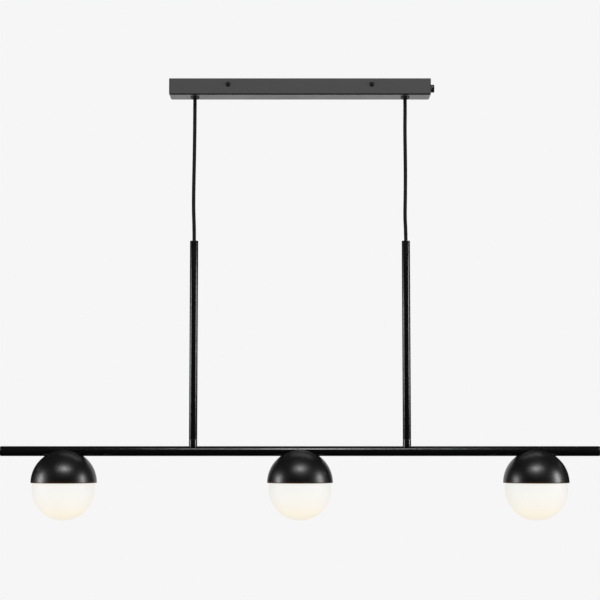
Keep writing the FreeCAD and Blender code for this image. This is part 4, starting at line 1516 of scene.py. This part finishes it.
@dataclass
class ShadeUnit:
    """One shade with what hangs in it: globe collar, carrier, holder, lamp and globe."""

    station: Station
    spacing: float = 452 * MM
    shade_radius: float = 63 * MM
    shade_wall: float = 1.2 * MM
    shade_height: float = -780.5 * MM
    bar_axis: float = -720 * MM
    notch_radius: float = 9.6 * MM
    globe_radius: float = 60.3 * MM
    globe_wall: float = 2.2 * MM
    globe_drop: float = 11.2 * MM
    glass_top: float = 41.9 * MM
    ring_top: float = 44.3 * MM
    ring_inside: float = 21.3 * MM
    ring_outside: float = 23.2 * MM
    ring_length: float = 8 * MM
    ring_lead: float = 0.4 * MM
    ring_edge: float = 0.5 * MM
    flange_radius: float = 27 * MM
    plate_low: float = 47 * MM
    thread_depth: float = 0.45 * MM
    thread_pitch: float = 2 * MM
    carrier_thread: float = 21 * MM
    carrier_wall: float = 2.6 * MM
    carrier_floor: float = 3 * MM
    carrier_flange: float = 1.2 * MM
    carrier_height: float = 14 * MM
    nipple_hole: float = 5.1 * MM
    holder_radius: float = 9.5 * MM
    holder_length: float = 26 * MM
    holder_top: float = 40.3 * MM
    holder_socket: float = 5 * MM
    holder_bevel: float = 2 * MM
    waist: Outline = ((0.0, 6.0 * MM), (0.7 * MM, 6.7 * MM), (0.7 * MM, 9.0 * MM), (0.0, 9.7 * MM))
    contact_hole: float = 1.3 * MM
    contact_depth: float = 17 * MM
    pin_spacing: float = 9 * MM
    pin_radius: float = 0.9 * MM
    pin_length: float = 15 * MM
    lamp_radius: float = 8 * MM
    lamp_length: float = 46 * MM
    lamp_foot: float = 11 * MM
    lamp_bend: float = 6 * MM
    lamp_wall: float = 0.8 * MM
    lamp_play: float = 0.2 * MM
    core_radius: float = 4.2 * MM
    core_rise: float = 9 * MM
    core_point: float = 7.5 * MM

    @property
    def x(self) -> float:
        """Where its axis stands along the bar."""
        return self.station.value * self.spacing

    def centre(self, drop: float = 0.0) -> Point:
        """A point on its axis, so far below the shade's centre."""
        return (self.x, 0.0, self.shade_height - drop)

    def shade(self) -> bmesh.types.BMesh:
        """The half ball, with a rounded rim, notched where the bar crosses it.

        Returns:
            The mesh.
        """
        bm = Shaping.ball_shell(self.shade_radius, self.shade_wall, 0.0, True)
        Shaping.eased(bm, 0.4 * MM, 3, 60.0)
        Shaping.moved(bm, self.centre())
        reach = 1.5 * self.shade_radius
        return Shaping.carved(bm, Shaping.rod(self.notch_radius, (self.x - reach, 0.0, self.bar_axis),
                                              (self.x + reach, 0.0, self.bar_axis), 128))

    def globe(self) -> bmesh.types.BMesh:
        """The blown globe, with a fire polished lip.

        Returns:
            The mesh.
        """
        rise = self.glass_top + self.globe_drop
        bm = Shaping.ball_shell(self.globe_radius, self.globe_wall, rise, False)
        Shaping.eased(bm, 0.6 * MM, 3, 40.0)
        return Shaping.moved(bm, self.centre(self.globe_drop))

    def globe_collar(self) -> bmesh.types.BMesh:
        """The collar glued in the globe's opening, threaded inside.

        Returns:
            The mesh.
        """
        low, top, out = self.glass_top - self.ring_length, self.ring_top, self.ring_outside
        bore = Shaping.thread(self.ring_inside, -self.thread_depth, self.thread_pitch, top - self.ring_lead,
                              low + self.ring_lead)
        mouth = self.ring_inside + self.ring_edge
        bm = Shaping.turned([*bore, (mouth, low), (out, low), (out, self.glass_top),
                             (self.flange_radius, self.glass_top), (self.flange_radius, top), (mouth, top)])
        Shaping.eased(bm, 0.25 * MM, 2, 60.0, lambda e: all(v.co.xy.length > out for v in e.verts))
        return Shaping.moved(bm, self.centre())

    def carrier(self) -> bmesh.types.BMesh:
        """The turned cup under the plate, threaded outside.

        Returns:
            The mesh.
        """
        top, out, crest, hole = self.plate_low, self.flange_radius, self.carrier_thread, self.nipple_hole
        low, inside = top - self.carrier_height, crest - self.carrier_wall
        flange_low = top - self.carrier_flange
        turns = Shaping.thread(crest, self.thread_depth, self.thread_pitch, flange_low - 1 * MM,
                               low + 0.3 * MM)
        bm = Shaping.turned([(hole, top), (out, top), (out, flange_low),
                             (crest - self.thread_depth, flange_low), *turns, (crest - 0.8 * MM, low),
                             (inside, low), (inside, top - self.carrier_floor),
                             (hole, top - self.carrier_floor)])
        Shaping.eased(bm, 0.2 * MM, 2, 60.0, lambda e: all(v.co.xy.length > out * 0.99 for v in e.verts))
        return Shaping.moved(bm, self.centre())

    def holder(self) -> bmesh.types.BMesh:
        """The ceramic holder, with a stepped waist and two contact holes.

        Returns:
            The mesh.
        """
        r, tall, hole = self.holder_radius, self.holder_length, self.nipple_hole
        bm = Shaping.turned([(0, 0), (r, 0), *[(r - inset, height) for inset, height in self.waist],
                             (r, tall - self.holder_bevel), (r - self.holder_bevel, tall), (hole, tall),
                             (hole, tall - self.holder_socket), (0, tall - self.holder_socket)], 72)
        Shaping.eased(bm, 0.5 * MM, 3, 40.0, lambda e: all(v.co.xy.length > r * 0.9 for v in e.verts))
        for way in (-1, 1):
            place = way * self.pin_spacing / 2
            bm = Shaping.carved(bm, Shaping.rod(self.contact_hole, (place, 0, -self.holder_socket),
                                                (place, 0, self.contact_depth), 32))
        return Shaping.moved(bm, self.centre(self.holder_length - self.holder_top))

    def lamp_parts(self) -> dict[str, bmesh.types.BMesh]:
        """The lamp's clear capsule, its pale foot with two pins, and its lit core.

        Returns:
            Their meshes: capsule, foot, core and pins.
        """
        r, end, foot_end, bend, wall = (self.lamp_radius, -self.lamp_length, -self.lamp_foot,
                                        self.lamp_bend, self.lamp_wall)
        outer = Shaping.arc((r - bend, bend + end), bend, 0, -90)
        inner = Shaping.arc((r - bend, bend + end), bend - wall, -90, 0)
        shell = Shaping.turned([(r, foot_end), *outer, (0, end), (0, wall + end), *inner,
                                (r - wall, foot_end)], 64)
        foot = Shaping.turned([(0, 0), (r * 0.86, 0), (r * 0.9, -1 * MM), (r, -4.8 * MM), (r, foot_end),
                               (0, foot_end)], 64)
        Shaping.eased(foot, 0.3 * MM, 2, 40.0)
        core = Shaping.turned([(0, foot_end), (self.core_radius, foot_end),
                               (self.core_radius, end + self.core_rise), (0, end + self.core_point)], 24)
        pins = []
        for way in (-1, 1):
            place = way * self.pin_spacing / 2
            pin = Shaping.rod(self.pin_radius, (place, 0, -1 * MM), (place, 0, self.pin_length), 24)
            pins.append(Shaping.eased(pin, 0.4 * MM, 3, 60.0))
        parts = {"capsule": shell, "foot": foot, "core": core, "pins": Shaping.joined(pins)}
        for part in parts.values():
            Shaping.moved(part, self.centre(self.holder_length - self.holder_top + self.lamp_play))
        return parts

    def build(self, shop: Workshop) -> None:
        """Make all of its pieces.

        Args:
            shop: the workshop that makes its pieces.
        """
        word = self.station.word
        lamp = f"{word}_lamp"
        for bm, name, finish, node, degrees in (
                (self.shade(), "half_ball", "satin", "shade", 50.0),
                (self.globe(), "opal_globe", "opal_glass", "globe", 60.0),
                (self.globe_collar(), "threaded_collar", None, "globe_collar", 35.0),
                (self.carrier(), "threaded_cup", None, "lamp_carrier", 35.0),
                (self.holder(), "ceramic_holder", "lamp_ceramic", "lamp_holder", 35.0)):
            shop.piece(bm, f"{word}_{name}", finish, [f"{word}_{node}"], degrees)
        parts = self.lamp_parts()
        shop.piece(parts["capsule"], f"{lamp}_capsule", "lamp_glass", [lamp], 60.0)
        for part, finish, slot in (("foot", "lamp_ceramic", "lamp_ceramic"), ("core", "core", "lamp_glass"),
                                   ("pins", "zinc_steel", "zinc_steel")):
            shop.extra(parts[part], f"{lamp}_{part}", finish, lamp, slot)


class InnerParts:
    """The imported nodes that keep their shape: each is shown as a smooth copy with its finish."""

    def build(self, shop: Workshop) -> None:
        """Dress every node that no other piece stands for."""
        for node in sorted(shop.roster.left):
            shop.piece(Shaping.copy_of(frame["nodes"][node]), f"{node}_piece", None, [node], 30.0)


@dataclass
class Lamp:
    """A soft studio lamp."""

    name: str
    place: Point
    size: tuple[float, float]
    watts: float


@dataclass
class Studio:
    """The pale room: world, floor, lamps, dark cloths with a window behind the lamp, and the camera."""

    aim: Point = (0.0, 0.0, -0.76)
    floor_height: float = -2.6
    floor_radius: float = 9.0
    floor_tones: tuple[Point, Point] = ((0.74, 0.74, 0.735), (0.77, 0.77, 0.77))
    floor_lift: float = 0.55
    floor_glow: float = 0.84
    white: float = 0.921
    ambient: float = 0.36
    camera_place: Point = (0.0, -3.2026, -0.71006)
    camera_pitch: float = 5.009
    camera_reach: tuple[float, float] = (0.05, 60.0)
    lens: float = 99.864
    sensor: float = 36.0
    cloth_radius: float = 7.0
    cloth_colour: Point = (0.01, 0.01, 0.01)
    window_place: float = 1.5
    window: tuple[float, float] = (1.05, 0.8)
    window_height: float = -0.44
    lamps: Sequence[Lamp] = field(default_factory=lambda: [
        Lamp("lamp_above", (0.1, -2.9, 2.7), (1.0, 0.5), 46.0),
        Lamp("lamp_strip", (0.1, -2.85, 3.0), (3.4, 0.35), 76.0),
        Lamp("lamp_behind", (0.15, 1.45, 1.9), (2.0, 0.5), 8.0),
        Lamp("lamp_left", (-3.4, -0.5, -0.4), (1.0, 1.4), 62.0),
        Lamp("lamp_right", (3.3, -0.9, -0.2), (0.8, 1.6), 76.0),
    ])

    def set_world(self) -> None:
        """White where it is seen, plain and soft where it lights."""
        world = bpy.data.worlds.new("pale_room")
        bpy.context.scene.world = world
        world.use_nodes = True
        world.node_tree.nodes.clear()
        sheet = NodeSheet(world.node_tree)
        ray = sheet.add("ShaderNodeLightPath").outputs
        seen = sheet.math("MAXIMUM", sheet.math("MAXIMUM", ray["Is Camera Ray"], ray["Is Glossy Ray"]),
                          ray["Is Transmission Ray"])
        light = sheet.add("ShaderNodeBackground", {"Color": (1, 1, 1, 1), "Strength": self.ambient})
        backdrop = sheet.add("ShaderNodeBackground", {"Color": (*[self.white] * 3, 1), "Strength": 1.0})
        shown = sheet.blend_shaders(seen, light, backdrop)
        sheet.wire(shown.outputs[0], sheet.add("ShaderNodeOutputWorld").inputs["Surface"])

    def set_floor(self) -> None:
        """A pale floor, far below, that can be looked through from underneath."""
        bm = bmesh.new()
        bmesh.ops.create_circle(bm, cap_ends=True, segments=96, radius=self.floor_radius,
                                matrix=Matrix.Translation((0, 0, self.floor_height)))
        material, sheet = NodeSheet.of_material("pale_floor")
        skin = sheet.add("ShaderNodeBsdfPrincipled", {"Roughness": 0.9, "Specular IOR Level": 0.1})
        tone = sheet.blend(sheet.noise(sheet.place(), 3.0, 3.0), *self.floor_tones)
        sheet.wire(tone, skin.inputs["Base Color"])
        camera_ray = sheet.add("ShaderNodeLightPath").outputs["Is Camera Ray"]
        lifted = sheet.blend_shaders(sheet.math("MULTIPLY", camera_ray, self.floor_lift), skin,
                                     sheet.add("ShaderNodeEmission", {"Strength": self.floor_glow}))
        below = sheet.add("ShaderNodeNewGeometry").outputs["Backfacing"]
        shown = sheet.blend_shaders(below, lifted, sheet.add("ShaderNodeBsdfTransparent"))
        sheet.wire(shown.outputs[0], sheet.add("ShaderNodeOutputMaterial").inputs["Surface"])
        floor = Shaping.finished(bm, "floor", material)
        floor.visible_glossy = floor.visible_diffuse = False

    def set_cloths(self) -> None:
        """Dark cloths round the room, which only gloss sees, open at a window behind the lamp."""
        bm = bmesh.new()
        bmesh.ops.create_uvsphere(bm, u_segments=48, v_segments=24, radius=self.cloth_radius,
                                  matrix=Matrix.Translation(self.aim))
        bmesh.ops.bisect_plane(bm, geom=[*bm.verts, *bm.edges, *bm.faces], plane_co=(0, self.window_place, 0),
                               plane_no=(0, 1, 0), clear_outer=True)
        rim = bmesh.ops.extrude_edge_only(bm, edges=[e for e in bm.edges if e.is_boundary])
        reach = math.sqrt(self.cloth_radius ** 2 - self.window_place ** 2)
        edge = [v for v in rim["geom"] if isinstance(v, bmesh.types.BMVert)]
        bmesh.ops.scale(bm, vec=(self.window[0] / reach, 1.0, self.window[1] / reach),
                        space=Matrix.Translation(-Vector(self.aim)), verts=edge)
        bmesh.ops.translate(bm, vec=(0.0, 0.0, self.window_height - self.aim[2]), verts=edge)
        material, sheet = NodeSheet.of_material("dark_cloth")
        skin = sheet.add("ShaderNodeBsdfPrincipled", {"Base Color": (*self.cloth_colour, 1), "Roughness": 1.0,
                                                      "Specular IOR Level": 0.0})
        sheet.wire(skin.outputs[0], sheet.add("ShaderNodeOutputMaterial").inputs["Surface"])
        cloth = Shaping.finished(bm, "dark_cloths", material)
        cloth.visible_camera = cloth.visible_diffuse = cloth.visible_shadow = False
        cloth.visible_transmission = cloth.visible_volume_scatter = False

    def set_lamps(self) -> None:
        """The soft lamps, each turned to the middle of the bar."""
        for lamp in self.lamps:
            light = bpy.data.lights.new(lamp.name, "AREA")
            light.shape, light.size, light.size_y = "RECTANGLE", *lamp.size
            light.energy = lamp.watts
            holder = bpy.data.objects.new(lamp.name, light)
            holder.location = lamp.place
            towards = Vector(self.aim) - Vector(lamp.place)
            holder.rotation_euler = towards.to_track_quat("-Z", "Y").to_euler()
            bpy.context.scene.collection.objects.link(holder)

    def set_camera(self) -> None:
        """The camera where the photograph was taken from."""
        camera = bpy.data.cameras.new("camera")
        camera.sensor_width, camera.lens = self.sensor, self.lens
        camera.clip_start, camera.clip_end = self.camera_reach
        holder = bpy.data.objects.new("camera", camera)
        holder.location = self.camera_place
        holder.rotation_euler = (math.radians(90 + self.camera_pitch), 0, 0)
        bpy.context.scene.collection.objects.link(holder)
        bpy.context.scene.camera = holder

    def build(self) -> None:
        """Set everything up."""
        bpy.context.scene.view_settings.view_transform = "Standard"
        self.set_camera()
        self.set_world()
        self.set_floor()
        self.set_cloths()
        self.set_lamps()


CORD_BENDS = {
    Side.LEFT: [(0, 0, 0), (0.11, 0, 0), (0.26, -0.2, 0.3), (0.42, -0.6, -0.2), (0.6, -1.4, -0.5),
                (0.76, -1.7, 0.2), (0.9, 0, 0), (1, 0, 0)],
    Side.RIGHT: [(0, 0, 0), (0.1, 0, 0), (0.22, -0.6, -0.3), (0.38, -0.2, -0.6), (0.54, 0.1, 0.2),
                 (0.7, -0.6, 0.6), (0.82, -1.4, 0.2), (0.91, 0, 0), (1, 0, 0)],
}


def main() -> None:
    """Dress the lamp, from the camera and the cords to the inner parts."""
    logging.basicConfig(level=logging.INFO, format="%(name)s: %(message)s")
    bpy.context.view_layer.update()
    shop = Workshop(frame["record"])
    Studio().build()
    for side in Side:
        TextileCord(side, CORD_BENDS[side]).build(shop)
    Canopy().build(shop)
    for side in Side:
        HangingRod(side).build(shop)
    Bar().build(shop)
    for station in Station:
        ShadeUnit(station).build(shop)
    InnerParts().build(shop)


if __name__ == "__main__":
    main()
